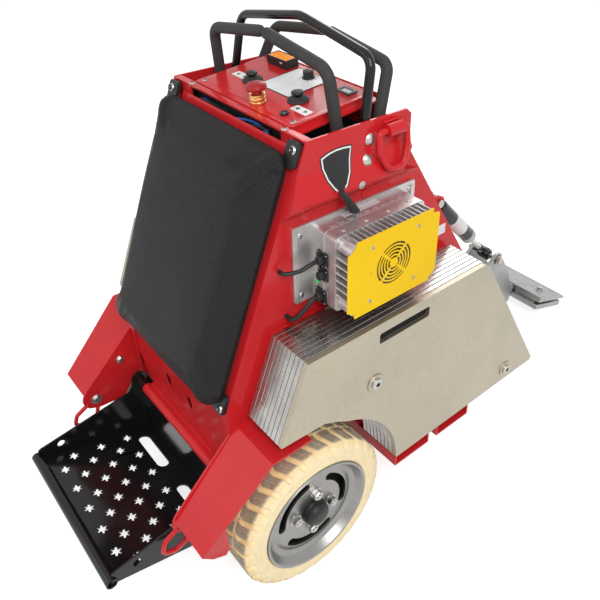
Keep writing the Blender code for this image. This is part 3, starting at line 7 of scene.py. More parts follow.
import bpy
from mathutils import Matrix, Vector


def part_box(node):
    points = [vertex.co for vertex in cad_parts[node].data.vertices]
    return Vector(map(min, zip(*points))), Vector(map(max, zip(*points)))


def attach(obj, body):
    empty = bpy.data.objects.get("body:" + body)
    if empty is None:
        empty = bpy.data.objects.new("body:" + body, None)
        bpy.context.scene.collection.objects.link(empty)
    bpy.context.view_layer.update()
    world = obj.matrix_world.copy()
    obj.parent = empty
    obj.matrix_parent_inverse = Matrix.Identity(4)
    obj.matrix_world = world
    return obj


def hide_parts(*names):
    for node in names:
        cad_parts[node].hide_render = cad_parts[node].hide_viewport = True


bl_info = {
    "name": "Stand-on floor stripper",
    "version": (1, 0, 0),
    "blender": (4, 5, 0),
    "location": "View3D > Sidebar > Floor stripper",
    "description": "Builds the detailed surfaces and finishes of a stand-on floor stripper",
    "category": "Add Mesh",
}

import math

import bmesh
import bpy
import numpy as np
from mathutils import Matrix, Vector

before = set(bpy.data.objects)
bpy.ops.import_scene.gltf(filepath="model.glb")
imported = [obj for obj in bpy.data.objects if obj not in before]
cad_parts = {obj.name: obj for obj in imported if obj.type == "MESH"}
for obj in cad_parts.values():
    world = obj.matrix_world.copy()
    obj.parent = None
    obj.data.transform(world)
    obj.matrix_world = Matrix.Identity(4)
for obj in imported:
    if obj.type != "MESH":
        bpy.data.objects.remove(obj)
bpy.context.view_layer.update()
AXLE_X = float(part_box("tyre_right")[0][0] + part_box("tyre_right")[1][0]) / 2
SIDES = ((1, "left"), (-1, "right"))
BODY_OF = {
    "platform_tray": "platform", "estop_button": "stop_button", "speed_knob": "knob", "key_switch": "key",
    "charger_fan": "fan", "lift_arm": "arm", "cylinder_barrel": "barrel", "cylinder_rod": "rod",
    "blade_clamp_upper": "blade_head", "blade_clamp_lower": "blade_head",
}
for _, tag in SIDES:
    for node, body in (("tyre_", "wheel_"), ("wheel_rim_", "wheel_"), ("drive_lever_", "lever_"),
                       ("joystick_", "stick_"), ("d_ring_", "ring_")):
        BODY_OF[node + tag] = body + tag
FINISH = {}
# Places that several pieces share, in the axle's frame.
TYRE_RADIUS = 0.175
PLATE_FACE = 0.32825
RING_Y, RING_Z = 0.2308, 0.9195
STEP_HINGE = (-0.128, 0.255)
STEP_TUBE = (-0.386, 0.172)
PANEL_X, PANEL_Z, PANEL_RISE = 0.0863, 0.9445, 0.1
CHARGER = (0.085, 0.306, 0.621, 0.779)
CYLINDER_BASE, ROD_PIN, ARM_PIVOT = (0.655, 0, 0.54), (0.922, 0, 0.262), (0.7, 0, 0.205)

# ---------------------------------------------------------------- surfaces from numbers


def grid_faces(rows, cols, wrap_rows=False, wrap_cols=False):
    """Quads between neighbouring rows and columns of a grid of points, joined round where it wraps."""
    row = np.arange(rows if wrap_rows else rows - 1)
    col = np.arange(cols if wrap_cols else cols - 1)
    row, col = np.meshgrid(row, col, indexing="ij")
    below, beside = (row + 1) % rows, (col + 1) % cols
    corners = (row * cols + col, row * cols + beside, below * cols + beside, below * cols + col)
    return np.stack(corners, -1).reshape(-1, 4)


def placed(points, matrix):
    """Points turned and moved by a 4 by 4 matrix."""
    matrix = np.array(matrix)
    return points @ matrix[:3, :3].T + matrix[:3, 3]


def arc(centre, radius, start, stop, steps=16):
    """Points on a circle from one angle to another, in degrees: centre + radius times (cos, sin)."""
    angle = np.radians(np.linspace(start, stop, steps + 1))
    return np.stack([centre[0] + radius * np.cos(angle), centre[1] + radius * np.sin(angle)], -1)


def ring(radius, sides=24, centre=(0.0, 0.0)):
    return arc(centre, radius, 0, 360 * (sides - 1) / sides, sides - 1)


def rounded_box(x0, x1, y0, y1, radius, steps=6):
    """A rectangle with a quarter circle at each corner."""
    return np.concatenate([arc((x1 - radius, y1 - radius), radius, 0, 90, steps),
                           arc((x0 + radius, y1 - radius), radius, 90, 180, steps),
                           arc((x0 + radius, y0 + radius), radius, 180, 270, steps),
                           arc((x1 - radius, y0 + radius), radius, 270, 360, steps)])


def softened(points, radii, steps=10):
    """A path whose inner corners are arcs. Each arc touches both straights, and its centre is on their
    bisector, the radius over the sine of half the angle away from the corner."""
    path = [Vector(points[0])]
    for before, corner, after, radius in zip(points, points[1:], points[2:], radii):
        before, corner, after = Vector(before), Vector(corner), Vector(after)
        into, out = (before - corner).normalized(), (after - corner).normalized()
        half = into.angle(out) / 2
        centre = corner + (into + out).normalized() * (radius / math.sin(half))
        first = (corner + into * radius / math.tan(half) - centre).normalized()
        last = (corner + out * radius / math.tan(half) - centre).normalized()
        path += [centre + first.slerp(last, i / steps) * radius for i in range(steps + 1)]
    return np.array([tuple(p) for p in path + [Vector(points[-1])]])


def resampled(path, count):
    """The same path with points at equal steps of its length."""
    length = np.concatenate([[0], np.cumsum(np.linalg.norm(np.diff(path, axis=0), axis=1))])
    wanted = np.linspace(0, length[-1], count)
    return np.stack([np.interp(wanted, length, path[:, i]) for i in range(3)], -1)


def swept(path, section, scale=None, closed=False):
    """A section of (across, over) points carried along a path. At each point the section stands square
    to the path's direction, and its first axis lies in the plane that fits the whole path best."""
    path = np.asarray(path, float)
    if closed:
        ahead, behind = np.roll(path, -1, 0), np.roll(path, 1, 0)
    else:
        ahead = np.concatenate([path[1:], path[-1:]])
        behind = np.concatenate([path[:1], path[:-1]])
    along = ahead - behind
    along /= np.linalg.norm(along, axis=1)[:, None]
    spread = path - path.mean(0)
    normal = np.linalg.svd(spread, full_matrices=False)[2][2] if len(path) > 2 else None
    if normal is None or abs(along @ normal).max() > 0.98 or np.linalg.svd(spread)[1][1] < 1e-6:
        normal = np.array([0.31, 0.22, 0.92]) if abs(along[0][2]) < 0.7 else np.array([0.1, 1.0, 0.05])
    across = np.cross(along, normal)
    across /= np.linalg.norm(across, axis=1)[:, None]
    over = np.cross(across, along)
    scale = np.ones(len(path)) if scale is None else np.asarray(scale, float)
    section = np.asarray(section, float)
    return (path[:, None] + scale[:, None, None] * (section[None, :, :1] * across[:, None]
                                                     + section[None, :, 1:2] * over[:, None]))


def turned(profile, steps=64, matrix=Matrix.Identity(4)):
    """A profile of (radius, height) turned about Z: x = r cos a, y = r sin a, z = height."""
    profile = np.asarray(profile, float)
    angle = np.linspace(0, 2 * math.pi, steps, endpoint=False)
    points = np.stack([profile[:, :1] * np.cos(angle), profile[:, :1] * np.sin(angle),
                       np.broadcast_to(profile[:, 1:2], (len(profile), steps))], -1)
    return placed(points, matrix)


def rolled(points, radius, steps=3):
    """A profile whose corners are rounded: the path rounding above, used in the plane."""
    radii = [radius] * (len(points) - 2) if np.isscalar(radius) else radius
    return softened([(a, 0.0, b) for a, b in points], radii, steps)[:, (0, 2)]


def onto(axis):
    """Turns a flat outline so that its thickness runs along the named axis."""
    return {"Y": Matrix(((1, 0, 0, 0), (0, 0, -1, 0), (0, 1, 0, 0), (0, 0, 0, 1))),
            "X": Matrix(((0, 0, 1, 0), (1, 0, 0, 0), (0, 1, 0, 0), (0, 0, 0, 1))),
            "Z": Matrix.Identity(4)}[axis]


class Form:
    """Surfaces gathered into one mesh, each a grid of points with the number of its finish."""

    def __init__(self):
        self.points, self.faces, self.finish, self.count = [], [], [], 0

    def _keep(self, points, faces, finish):
        points = np.asarray(points, float).reshape(-1, 3)
        self.points.append(points)
        self.faces += faces
        self.finish += [finish] * len(faces)
        self.count += len(points)
        return self

    def grid(self, points, finish=0, wrap_rows=False, wrap_cols=True, caps=False):
        rows, cols = points.shape[:2]
        faces = (grid_faces(rows, cols, wrap_rows, wrap_cols) + self.count).tolist()
        if caps:
            faces.append(list(range(self.count, self.count + cols))[::-1])
            faces.append(list(range(self.count + (rows - 1) * cols, self.count + rows * cols)))
        return self._keep(points, faces, finish)

    def tube(self, path, radius, finish=0, sides=20, scale=None, closed=False, caps=True):
        """A round tube along a path."""
        return self.grid(swept(path, ring(radius, sides), scale, closed), finish, closed, True,
                         caps and not closed)

    def turn(self, profile, finish=0, steps=48, matrix=Matrix.Identity(4)):
        return self.grid(turned(profile, steps, matrix), finish)

    def disc(self, radius, low, high, finish, steps, matrix):
        """A plain round between two heights."""
        return self.turn([(0, low), (radius, low), (radius, high), (0, high)], finish, steps, matrix)

    def prism(self, outline, low, high, axis="Z", finish=0, matrix=Matrix.Identity(4)):
        """An outline between two planes of an axis, closed by a face at each end."""
        points = np.array([[(x, y, level) for x, y in outline] for level in sorted((low, high))], float)
        if axis == "Y":
            points[..., 2] *= -1
        return self.grid(placed(points, matrix @ onto(axis)), finish, caps=True)

    def box(self, low, high, finish=0, matrix=Matrix.Identity(4)):
        (a, b, c), (d, e, f) = low, high
        return self.prism([(a, b), (d, b), (d, e), (a, e)], c, f, "Z", finish, matrix)

    def cut_sheet(self, outlines, low, high, axis="Z", finish=0, matrix=Matrix.Identity(4)):
        """A flat outline with holes, filled as a curve and made a mesh before it is placed."""
        low, high = sorted((low, high))
        curve = bpy.data.curves.new("outline", "CURVE")
        curve.dimensions, curve.fill_mode, curve.extrude = "2D", "BOTH", (high - low) / 2
        for outline in outlines:
            spline = curve.splines.new("POLY")
            spline.points.add(len(outline) - 1)
            flat = np.zeros((len(outline), 4))
            flat[:, :2] = outline
            flat[:, 3] = 1
            spline.points.foreach_set("co", flat.ravel())
            spline.use_cyclic_u = True
        holder = bpy.data.objects.new("outline", curve)
        bpy.context.scene.collection.objects.link(holder)
        graph = bpy.context.evaluated_depsgraph_get()
        graph.update()
        mesh = bpy.data.meshes.new_from_object(holder.evaluated_get(graph))
        points = np.empty(len(mesh.vertices) * 3)
        mesh.vertices.foreach_get("co", points)
        points = points.reshape(-1, 3)
        points[:, 2] += (low + high) / 2
        if axis == "Y":
            points[:, 2] *= -1
        faces = [[i + self.count for i in face.vertices] for face in mesh.polygons]
        bpy.data.objects.remove(holder, do_unlink=True)
        bpy.data.curves.remove(curve)
        bpy.data.meshes.remove(mesh)
        return self._keep(placed(points, matrix @ onto(axis)), faces, finish)

    def piece(self, name, body, finishes, slot, replaces=(), bevel=0.0, segments=2, cutters=None,
              sharp=32.0, weld=0.00001):
        """The mesh as a piece that rides on a body: welded, faced outwards, shaded smooth between sharp
        edges, and cut by another form where one is given. Its finishes are named in one string."""
        obj = self.mesh_object(name, finishes, weld)
        if cutters is not None:
            tool = cutters.mesh_object(name + "_tool", finishes, weld)
            cut = obj.modifiers.new("cut", "BOOLEAN")
            cut.operation, cut.object, cut.solver = "DIFFERENCE", tool, "EXACT"
            bake(obj)
            bpy.data.objects.remove(tool, do_unlink=True)
        shade(obj, sharp)
        if bevel:
            soften_edges(obj, bevel, segments)
        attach(obj, body)
        if replaces:
            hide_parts(*replaces)
        return obj

    def cover(self, node, finishes, slot, name=None, **options):
        """The mesh as the piece that stands for a node, on that node's body."""
        return self.piece(name or node + "_form", BODY_OF.get(node, "machine"), finishes, slot, (node,),
                          **options)

    def mesh_object(self, name, finishes, weld=0.00001):
        points = np.concatenate(self.points)
        points[:, 0] += AXLE_X
        mesh = bpy.data.meshes.new(name)
        mesh.from_pydata(points.tolist(), [], self.faces)
        for finish in finishes.split():
            mesh.materials.append(FINISH[finish])
        mesh.polygons.foreach_set("material_index", self.finish)
        work = bmesh.new()
        work.from_mesh(mesh)
        bmesh.ops.remove_doubles(work, verts=work.verts, dist=weld)
        bmesh.ops.recalc_face_normals(work, faces=work.faces)
        work.to_mesh(mesh)
        work.free()
        obj = bpy.data.objects.new(name, mesh)
        bpy.context.scene.collection.objects.link(obj)
        return obj


def bake(obj):
    """Applies every modifier on a piece by taking its evaluated mesh."""
    graph = bpy.context.evaluated_depsgraph_get()
    graph.update()
    mesh = bpy.data.meshes.new_from_object(obj.evaluated_get(graph), preserve_all_data_layers=True,
                                           depsgraph=graph)
    obj.modifiers.clear()
    old, obj.data = obj.data, mesh
    mesh.name = obj.name
    bpy.data.meshes.remove(old)


def shade(obj, sharp=32.0):
    obj.data.shade_smooth()
    obj.data.set_sharp_from_angle(angle=math.radians(sharp))


def soften_edges(obj, width, segments):
    edge = obj.modifiers.new("soft_edges", "BEVEL")
    edge.width, edge.segments, edge.limit_method = width, segments, "ANGLE"
    edge.angle_limit, edge.harden_normals = math.radians(35), True


def dressed(node, finish, width=0.0012):
    """A merged copy of a CAD node with flat faces rejoined, rounded edges and its finish."""
    work = bmesh.new()
    work.from_mesh(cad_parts[node].data)
    bmesh.ops.remove_doubles(work, verts=work.verts, dist=0.00001)
    bmesh.ops.dissolve_limit(work, angle_limit=math.radians(0.8), verts=work.verts, edges=work.edges)
    mesh = bpy.data.meshes.new(node + "_form")
    work.to_mesh(mesh)
    work.free()
    mesh.materials.append(FINISH[finish])
    obj = bpy.data.objects.new(node + "_form", mesh)
    bpy.context.scene.collection.objects.link(obj)
    shade(obj)
    soften_edges(obj, width, 2)
    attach(obj, BODY_OF.get(node, "machine"))
    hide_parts(node)
    return obj

# ---------------------------------------------------------------- finishes


class Sock:
    """One output of a node. The operators on it add Math nodes."""

    def __init__(self, look, out):
        self.look, self.out = look, out

    def __add__(self, other):
        return self.look.maths("ADD", self, other)

    def __sub__(self, other):
        return self.look.maths("SUBTRACT", self, other)

    def __rsub__(self, other):
        return self.look.maths("SUBTRACT", other, self)

    def __mul__(self, other):
        return self.look.maths("MULTIPLY", self, other)

    def __truediv__(self, other):
        return self.look.maths("DIVIDE", self, other)

    __radd__, __rmul__ = __add__, __mul__

    def over(self, edge, soft):
        """0 below an edge and 1 above it, with a straight ramp between."""
        return self.look.maths("ADD", (self - edge) / soft, 0.5, clamp=True)


class Look:
    """A material: its nodes, and the shader that their results feed."""

    def __init__(self, name, colour, roughness, metallic=0.0, **constants):
        self.material = bpy.data.materials.new(name)
        self.material.use_nodes = True
        self.tree = self.material.node_tree
        self.shader = self.tree.nodes["Principled BSDF"]
        self.material.diffuse_color = (*colour[:3], 1)
        self.feed("Base Color", (*colour, 1)).feed("Roughness", roughness).feed("Metallic", metallic)
        for socket, value in constants.items():
            self.feed(socket.replace("_", " "), value)

    def feed(self, socket, value):
        self.join(self.shader.inputs[socket], value)
        return self

    def join(self, socket, value):
        if isinstance(value, Sock):
            self.tree.links.new(value.out, socket)
        else:
            socket.default_value = value

    def node(self, kind, settings, inputs, out=0):
        node = self.tree.nodes.new(kind)
        for key, value in settings.items():
            setattr(node, key, value)
        for key, value in inputs.items():
            self.join(node.inputs[key], value)
        return Sock(self, node.outputs[out])

    def maths(self, operation, first, second=0.0, clamp=False):
        return self.node("ShaderNodeMath", {"operation": operation, "use_clamp": clamp},
                         {0: first, 1: second})

    def place(self, scale=(1, 1, 1), turn=(0, 0, 0), move=(0, 0, 0)):
        here = self.node("ShaderNodeTexCoord", {}, {}, "Object")
        return self.node("ShaderNodeMapping", {}, {"Vector": here, "Scale": scale, "Rotation": turn,
                                                   "Location": move})

    def parts(self, vector):
        node = self.tree.nodes.new("ShaderNodeSeparateXYZ")
        self.join(node.inputs[0], vector)
        return [Sock(self, out) for out in node.outputs]

    def noise(self, scale, detail=3.0, rough=0.5, vector=None, distort=0.0):
        vector = vector or self.place()
        return self.node("ShaderNodeTexNoise", {}, {"Vector": vector, "Scale": scale, "Detail": detail,
                                                    "Roughness": rough, "Distortion": distort}, "Fac")

    def blend(self, share, first, second):
        """Two colours mixed by a share."""
        colours = [value if isinstance(value, Sock) else (*value, 1) for value in (first, second)]
        return self.node("ShaderNodeMix", {"data_type": "RGBA"},
                         {0: share, 6: colours[0], 7: colours[1]}, 2)

    def bump(self, height, strength=0.3, distance=0.001):
        inputs = {"Height": height, "Strength": strength, "Distance": distance}
        return self.feed("Normal", self.node("ShaderNodeBump", {}, inputs))


def tone(colour, k):
    return tuple(min(c * k, 1.0) for c in colour)


def scuffs(look, scale=(40, 3, 40), turn=(0.2, 0.4, 0.9), edge=0.66):
    """Fine straight scratches: noise drawn out in one direction and cut at a level."""
    return look.noise(6, 4, 0.6, look.place(scale, turn)).over(edge, 0.06)


def paint(name, colour, roughness=0.2, coat=0.3, dust=0.05, dust_colour=(0.45, 0.38, 0.33),
          gloss=0.2, worn=0.04):
    """Gloss paint: slow shifts of tone, faint orange peel, scratches and a film of dust."""
    look = Look(name, colour, roughness, Coat_Weight=coat, Coat_Roughness=0.06, Specular_IOR_Level=gloss)
    drift = look.noise(5.5, 3, 0.55)
    film = look.noise(14, 5, 0.65).over(0.6, 0.22) * dust
    marks = scuffs(look) * 0.35 + scuffs(look, (3, 55, 30), (0.7, 0.1, 0.3), 0.69) * 0.3
    base = look.blend(drift, tone(colour, 0.86), tone(colour, 1.12))
    base = look.blend(film * 0.35, base, dust_colour)
    look.feed("Base Color", look.blend(marks * worn, base, tone(dust_colour, 1.2)))
    look.feed("Roughness", film * 0.6 + marks * 0.1 + drift * 0.06 + (roughness - 0.03))
    return look.bump(look.noise(420, 2, 0.4), 0.05, 0.0004).material


def plastic(name, colour, roughness=0.5, grain=900.0, strength=0.15):
    """Moulded plastic: a fine grain, with rubbed places a little smoother."""
    look = Look(name, colour, roughness, Specular_IOR_Level=0.3)
    rub = look.noise(22, 4, 0.6)
    look.feed("Base Color", look.blend(rub, tone(colour, 0.8), tone(colour, 1.35)))
    look.feed("Roughness", rub * 0.16 + (roughness - 0.08))
    return look.bump(look.noise(grain, 2, 0.5), strength, 0.0004).material


def metal(name, colour, roughness=0.3, draw=(60, 4, 60), turn=(0, 0, 0), contrast=0.16, grime=0.25):
    """Machined or plated metal: drawn grain in the roughness, and grime in patches."""
    look = Look(name, colour, roughness, 1.0)
    grain = look.noise(9, 5, 0.65, look.place(draw, turn))
    patch = look.noise(17, 4, 0.6).over(0.58, 0.3) * grime
    base = look.blend(grain, tone(colour, 1 - contrast), tone(colour, 1 + contrast))
    look.feed("Base Color", look.blend(patch, base, tone(colour, 0.45)))
    look.feed("Roughness", grain * 0.18 + patch * 0.35 + (roughness - 0.06))
    return look.bump(grain, 0.06, 0.0004).material


def zinc_sheet(name, colour=(0.53, 0.475, 0.395)):
    """Plated steel plate: large soft clouds, small crystals, handling scratches and a few dark specks."""
    look = Look(name, colour, 0.4, 0.9)
    cloud = look.noise(4.2, 4, 0.6, distort=0.6)
    drawn = look.noise(5, 6, 0.7, look.place((5, 30, 44), (0, 0.35, 0)))
    cells = look.node("ShaderNodeTexVoronoi", {}, {"Vector": look.place(), "Scale": 130.0}, "Color")
    crystal = look.node("ShaderNodeRGBToBW", {}, {0: cells})
    marks = scuffs(look, (2.5, 40, 70), (0, 0.9, 0), 0.64) + scuffs(look, (70, 40, 3), (0, 0.3, 0), 0.67)
    speck = look.noise(160, 2, 0.5).over(0.75, 0.04)
    tones = cloud * 0.55 + crystal * 0.1 + drawn * 0.35
    base = look.blend(tones.over(0.5, 0.75), tone(colour, 0.74), tone(colour, 1.28))
    base = look.blend(marks * 0.4, base, tone(colour, 1.4))
    look.feed("Base Color", look.blend(speck * 0.5, base, tone(colour, 0.35)))
    look.feed("Roughness", cloud * 0.22 + drawn * 0.14 + marks * 0.12 + 0.22)
    return look.bump(drawn * 0.5 + crystal * 0.3, 0.1, 0.0006).material


def cast(name, colour=(0.58, 0.565, 0.56), roughness=0.42, metallic=0.85):
    """Cast aluminium: a sanded skin with soft blotches."""
    look = Look(name, colour, roughness, metallic)
    blotch = look.noise(26, 4, 0.6)
    look.feed("Base Color", look.blend(blotch, tone(colour, 0.82), tone(colour, 1.16)))
    look.feed("Roughness", blotch * 0.2 + (roughness - 0.08))
    return look.bump(look.noise(520, 3, 0.6), 0.22, 0.0006).material


def tyre_rubber(name, colour, grime, radius):
    """Pale rubber: the tread is worn grey-brown, the grooves stay yellow and the sidewall is dusty."""
    look = Look(name, colour, 0.72, Specular_IOR_Level=0.25)
    x, _, z = look.parts(look.place(move=(-AXLE_X, 0, 0)))
    height = z - radius
    reach = look.maths("SQRT", x * x + height * height)
    tread = reach.over(radius - 0.0022, 0.003)
    groove = reach.over(radius - 0.012, 0.004) * (1 - tread)
    dirt = look.noise(34, 5, 0.68)
    side = look.blend(dirt.over(0.56, 0.35) * 0.14, colour, tone(grime, 1.7))
    base = look.blend(groove * 0.75, side, (0.95, 0.74, 0.4))
    face = look.blend(dirt.over(0.5, 0.4), grime, tone(grime, 2.3))
    look.feed("Base Color", look.blend(tread * 0.85, base, face))
    look.feed("Roughness", dirt * 0.2 + 0.6)
    grain = look.noise(260, 4, 0.6)
    rings = look.maths("SINE", reach * 2200) * 0.06
    return look.bump(grain + rings, 0.25, 0.0006).material


def vinyl(name, colour):
    """Coated cloth pressed with a basket weave: two slanting families of ribs, multiplied."""
    look = Look(name, colour, 0.5, Specular_IOR_Level=0.18)
    # Across the pad is Y; up the slope mixes X and Z. The ribs run at 45 degrees.
    _, y, z = look.parts(look.place(turn=(0, math.radians(-21.3), 0)))
    spacing, slant = 0.0052, 0.7071
    wave = 2 * math.pi / spacing * slant
    one = look.maths("SINE", (y + z) * wave)
    two = look.maths("SINE", (y - z) * wave)
    weave = one * two
    wear = look.noise(9, 4, 0.6)
    base = look.blend(weave.over(0.0, 1.4), tone(colour, 0.5), tone(colour, 1.6))
    look.feed("Base Color", look.blend(wear.over(0.55, 0.4) * 0.2, base, tone(colour, 1.9)))
    look.feed("Roughness", wear * 0.18 - weave * 0.06 + 0.4)
    return look.bump(weave + look.noise(600, 2, 0.5) * 0.3, 0.8, 0.0008).material


def display(name, colour, glow):
    """A lit window: rows of segments that glow on a dark ground."""
    look = Look(name, (0.03, 0.02, 0.015), 0.25, Emission_Strength=glow)
    x, y, _ = look.parts(look.place(move=(-AXLE_X, 0, 0)))
    bars = look.maths("SINE", y * (2 * math.pi / 0.006)).over(-0.1, 0.5)
    rows = look.maths("SINE", x * (2 * math.pi / 0.007)).over(-0.5, 0.5)
    mask = bars * rows
    look.feed("Base Color", look.blend(mask, tone(colour, 0.3), colour))
    return look.feed("Emission Color", look.blend(mask, tone(colour, 0.15), colour)).material


def make_finishes(p):
    """Every finish by name, from the colours in the settings."""
    FINISH.update({
        "red": paint("red_paint", tuple(p.red), 0.2, 0.06, 0.05),
        "black": paint("black_paint", tuple(p.black), 0.16, 0.1, 0.08, (0.16, 0.15, 0.145), 0.28),
        "zinc": zinc_sheet("zinc_plate", tuple(p.zinc)),
        # The weight plates' edges: a real drawn grain and grime, made strongly streaked light and dark as
        # painted reflections.
        "zinc_edge": metal("zinc_edge", (0.47, 0.455, 0.43), 0.22, (45, 7, 45), (0, 0, 0.2), 0.34, 0.4),
        "steel": metal("bright_steel", (0.74, 0.73, 0.71), 0.26),
        "satin": metal("satin_steel", (0.37, 0.38, 0.37), 0.32, (8, 50, 50), (0, 0.3, 0), 0.2, 0.3),
        "bolt": metal("zinc_bolt", (0.5, 0.49, 0.47), 0.3, (20, 20, 20), contrast=0.1),
        "cast": cast("cast_alloy"),
        "rim": cast("rim_alloy", (0.3, 0.295, 0.285), 0.3, 0.92),
        "yellow": paint("yellow_paint", tuple(p.yellow), 0.42, 0.0, 0.05, (0.75, 0.52, 0.12), 0.12),
        "plastic": plastic("black_plastic", (0.017, 0.017, 0.018), 0.42),
        # Near-black painted shade, laid in screw slots and socket pockets, between the weight plates,
        # behind the hand slot and the rim's slots, and in the hollow behind the wiring.
        "hole": plastic("painted_shade_black", (0.006, 0.006, 0.006), 0.85, 300, 0.1),
        "grip": plastic("grip_rubber", (0.036, 0.035, 0.034), 0.68, 700, 0.35),
        "tyre": tyre_rubber("tyre_rubber", tuple(p.tyre), (0.175, 0.145, 0.115), TYRE_RADIUS),
        "vinyl": vinyl("pad_vinyl", tuple(p.vinyl)),
        "brass": metal("brass", (0.83, 0.57, 0.22), 0.24, grime=0.15),
        "stop": plastic("stop_red", (0.34, 0.012, 0.016), 0.28, 500, 0.05),
        "white": plastic("white_label", (0.83, 0.83, 0.82), 0.45, 400, 0.03),
        "ink": plastic("dial_ink", (0.02, 0.02, 0.022), 0.5, 400, 0.03),
        "grey_label": plastic("grey_label", (0.47, 0.46, 0.46), 0.4, 400, 0.03),
        "amber": display("amber_display", (1.0, 0.3, 0.03), 1.2),
        "lamp": Look("green_lamp", (0.05, 0.55, 0.12), 0.2, Emission_Strength=0.4,
                     Emission_Color=(0.03, 0.6, 0.1, 1)).material,
        "wire_blue": plastic("blue_wire", (0.03, 0.1, 0.42), 0.45, 500, 0.05),
    })

# ---------------------------------------------------------------- sizes and colours


def length_setting(label, words, value):
    return bpy.props.FloatProperty(name=label, description=words, default=value, subtype="DISTANCE",
                                   unit="LENGTH")


class StripperSizes(bpy.types.PropertyGroup):
    """Sizes of the detailed pieces."""

    lug_count: bpy.props.IntProperty(
        name="Tread blocks", description="Blocks round each tyre", default=29, min=12, max=60)
    lug_depth: length_setting("Tread depth", "Depth of the grooves between the blocks", 0.0085)
    pad_crown: length_setting("Pad crown", "How far the pad's middle stands above its edge", 0.009)
    grip_radius: length_setting("Grip radius", "Outer radius of the rubber on the drive levers", 0.0112)
    guard_radius: length_setting("Guard radius", "Outer radius of the fixed guard loop", 0.009)
    ring_rod: length_setting("Lifting ring rod", "Radius of the rod of the lifting rings", 0.006)
    edge: length_setting("Edge rounding", "Rounding of cut sheet edges", 0.001)
    star_radius: length_setting("Star radius", "Outer radius of the grip stars in the step", 0.012)


def colour_setting(label, words, value):
    return bpy.props.FloatVectorProperty(name=label, description=words, default=value, size=3,
                                         subtype="COLOR", min=0.0, max=1.0)


class StripperColours(bpy.types.PropertyGroup):
    """Main colours, as linear values."""

    red: colour_setting("Body paint", "Gloss paint of the sheet metal", (0.6, 0.018, 0.022))
    black: colour_setting("Black paint", "Gloss paint of step, guard and barrel", (0.0085, 0.0085, 0.009))
    zinc: colour_setting("Weight plates", "Plated steel of the weights", (0.43, 0.385, 0.3))
    yellow: colour_setting("Charger cover", "Painted cover of the charger", (1.0, 0.6, 0.006))
    tyre: colour_setting("Tyre", "Non-marking rubber of the tyres", (1.0, 0.84, 0.53))
    vinyl: colour_setting("Back pad", "Coated cloth of the pad", (0.0105, 0.0105, 0.011))


def sizes():
    return bpy.context.scene.stripper_sizes


# ---------------------------------------------------------------- fasteners


def facing(point, direction):
    """A frame at a point whose z looks along a direction."""
    turn = Vector(direction).to_track_quat("Z", "Y").to_matrix().to_4x4()
    return Matrix.Translation(Vector(point)) @ turn


def outward(x, y, z, side):
    """A frame at a place on one side of the machine, its z away from the middle."""
    return facing((x, side * y, z), (0, side, 0))


def dome(form, point, direction, radius, height, finish=0, steps=24):
    """A carriage bolt head: a flat rim and a dome whose height falls with the square of the radius."""
    share = np.linspace(0, 1, 8)
    profile = np.stack([radius * share, height * (1 - 0.82 * share ** 2.4)], -1)
    profile = np.concatenate([profile, [(radius, -0.001), (0, -0.001)]])
    form.turn(profile, finish, steps, facing(point, direction))


def hex_bolt(form, point, direction, radius, height, finish=0, washer=0.0, spin=0.0):
    """A hexagon head with its corners turned off, on a washer."""
    place = facing(point, direction) @ Matrix.Rotation(spin, 4, "Z")
    lift = 0.0
    if washer:
        lift = 0.0016
        form.turn([(0, -0.001), (washer, -0.001), (washer, lift - 0.0003), (washer - 0.0004, lift),
                   (0, lift)], finish, 28, place)
    form.grid(turned([(radius, lift - 0.0004), (radius, lift + height * 0.86),
                      (radius * 0.88, lift + height)], 6, place), finish, caps=True)


def socket_bolt(form, point, direction, radius, height, finish=0, dark=1):
    """A button screw: a domed head with a six-sided pocket, whose floor is a flat dark hexagon of painted
    shade.
    """
    place = facing(point, direction)
    form.turn([(0, -0.001), (radius, -0.001), (radius, height * 0.45), (radius * 0.96, height * 0.68),
               (radius * 0.84, height * 0.86), (radius * 0.6, height * 0.97), (radius * 0.44, height),
               (radius * 0.43, height - 0.0006), (0, height - 0.0006)], finish, 36, place)
    floor = height - 0.0001
    form.grid(turned([(radius * 0.42, floor), (radius * 0.001, floor)], 6, place), dark)


def pan_screw(form, point, direction, radius, height, finish=0, dark=1):
    """A pan head with a crossed slot, drawn as two dark bars of painted shade."""
    place = facing(point, direction)
    dome(form, point, direction, radius, height, finish, 20)
    for turn in (0, 90):
        long, wide = radius * 0.5, radius * 0.09
        form.box((-long, -wide, height * 0.72), (long, wide, height * 1.02), dark,
                 place @ Matrix.Rotation(math.radians(turn), 4, "Z"))


# ---------------------------------------------------------------- sheet metal


def side_section(side):
    """The side plate from top to bottom as (y, z): straight, out to the fold, back in and down. Each fold
    is an arc."""
    line = [(0.219, 0.943), (0.219, 0.885), (0.236, 0.838), (0.236, 0.83), (0.21, 0.806), (0.21, 0.24)]
    curve = rolled(line, (0.012, 0.005, 0.004, 0.008), 4)
    return curve * (side, 1)


def edge_front(z):
    """The front edge of the side plate at a height: a straight top, the fold cut back, then a long slope
    and a straight nose."""
    return np.interp(z, [0.24, 0.393, 0.806, 0.828, 0.84, 0.866, 0.932, 0.943],
                     [0.62, 0.62, 0.3579, 0.29, 0.29, 0.317, 0.316, 0.304])


def edge_rear(z):
    return np.interp(z, [0.24, 0.452, 0.943], [-0.12, -0.12, 0.072])


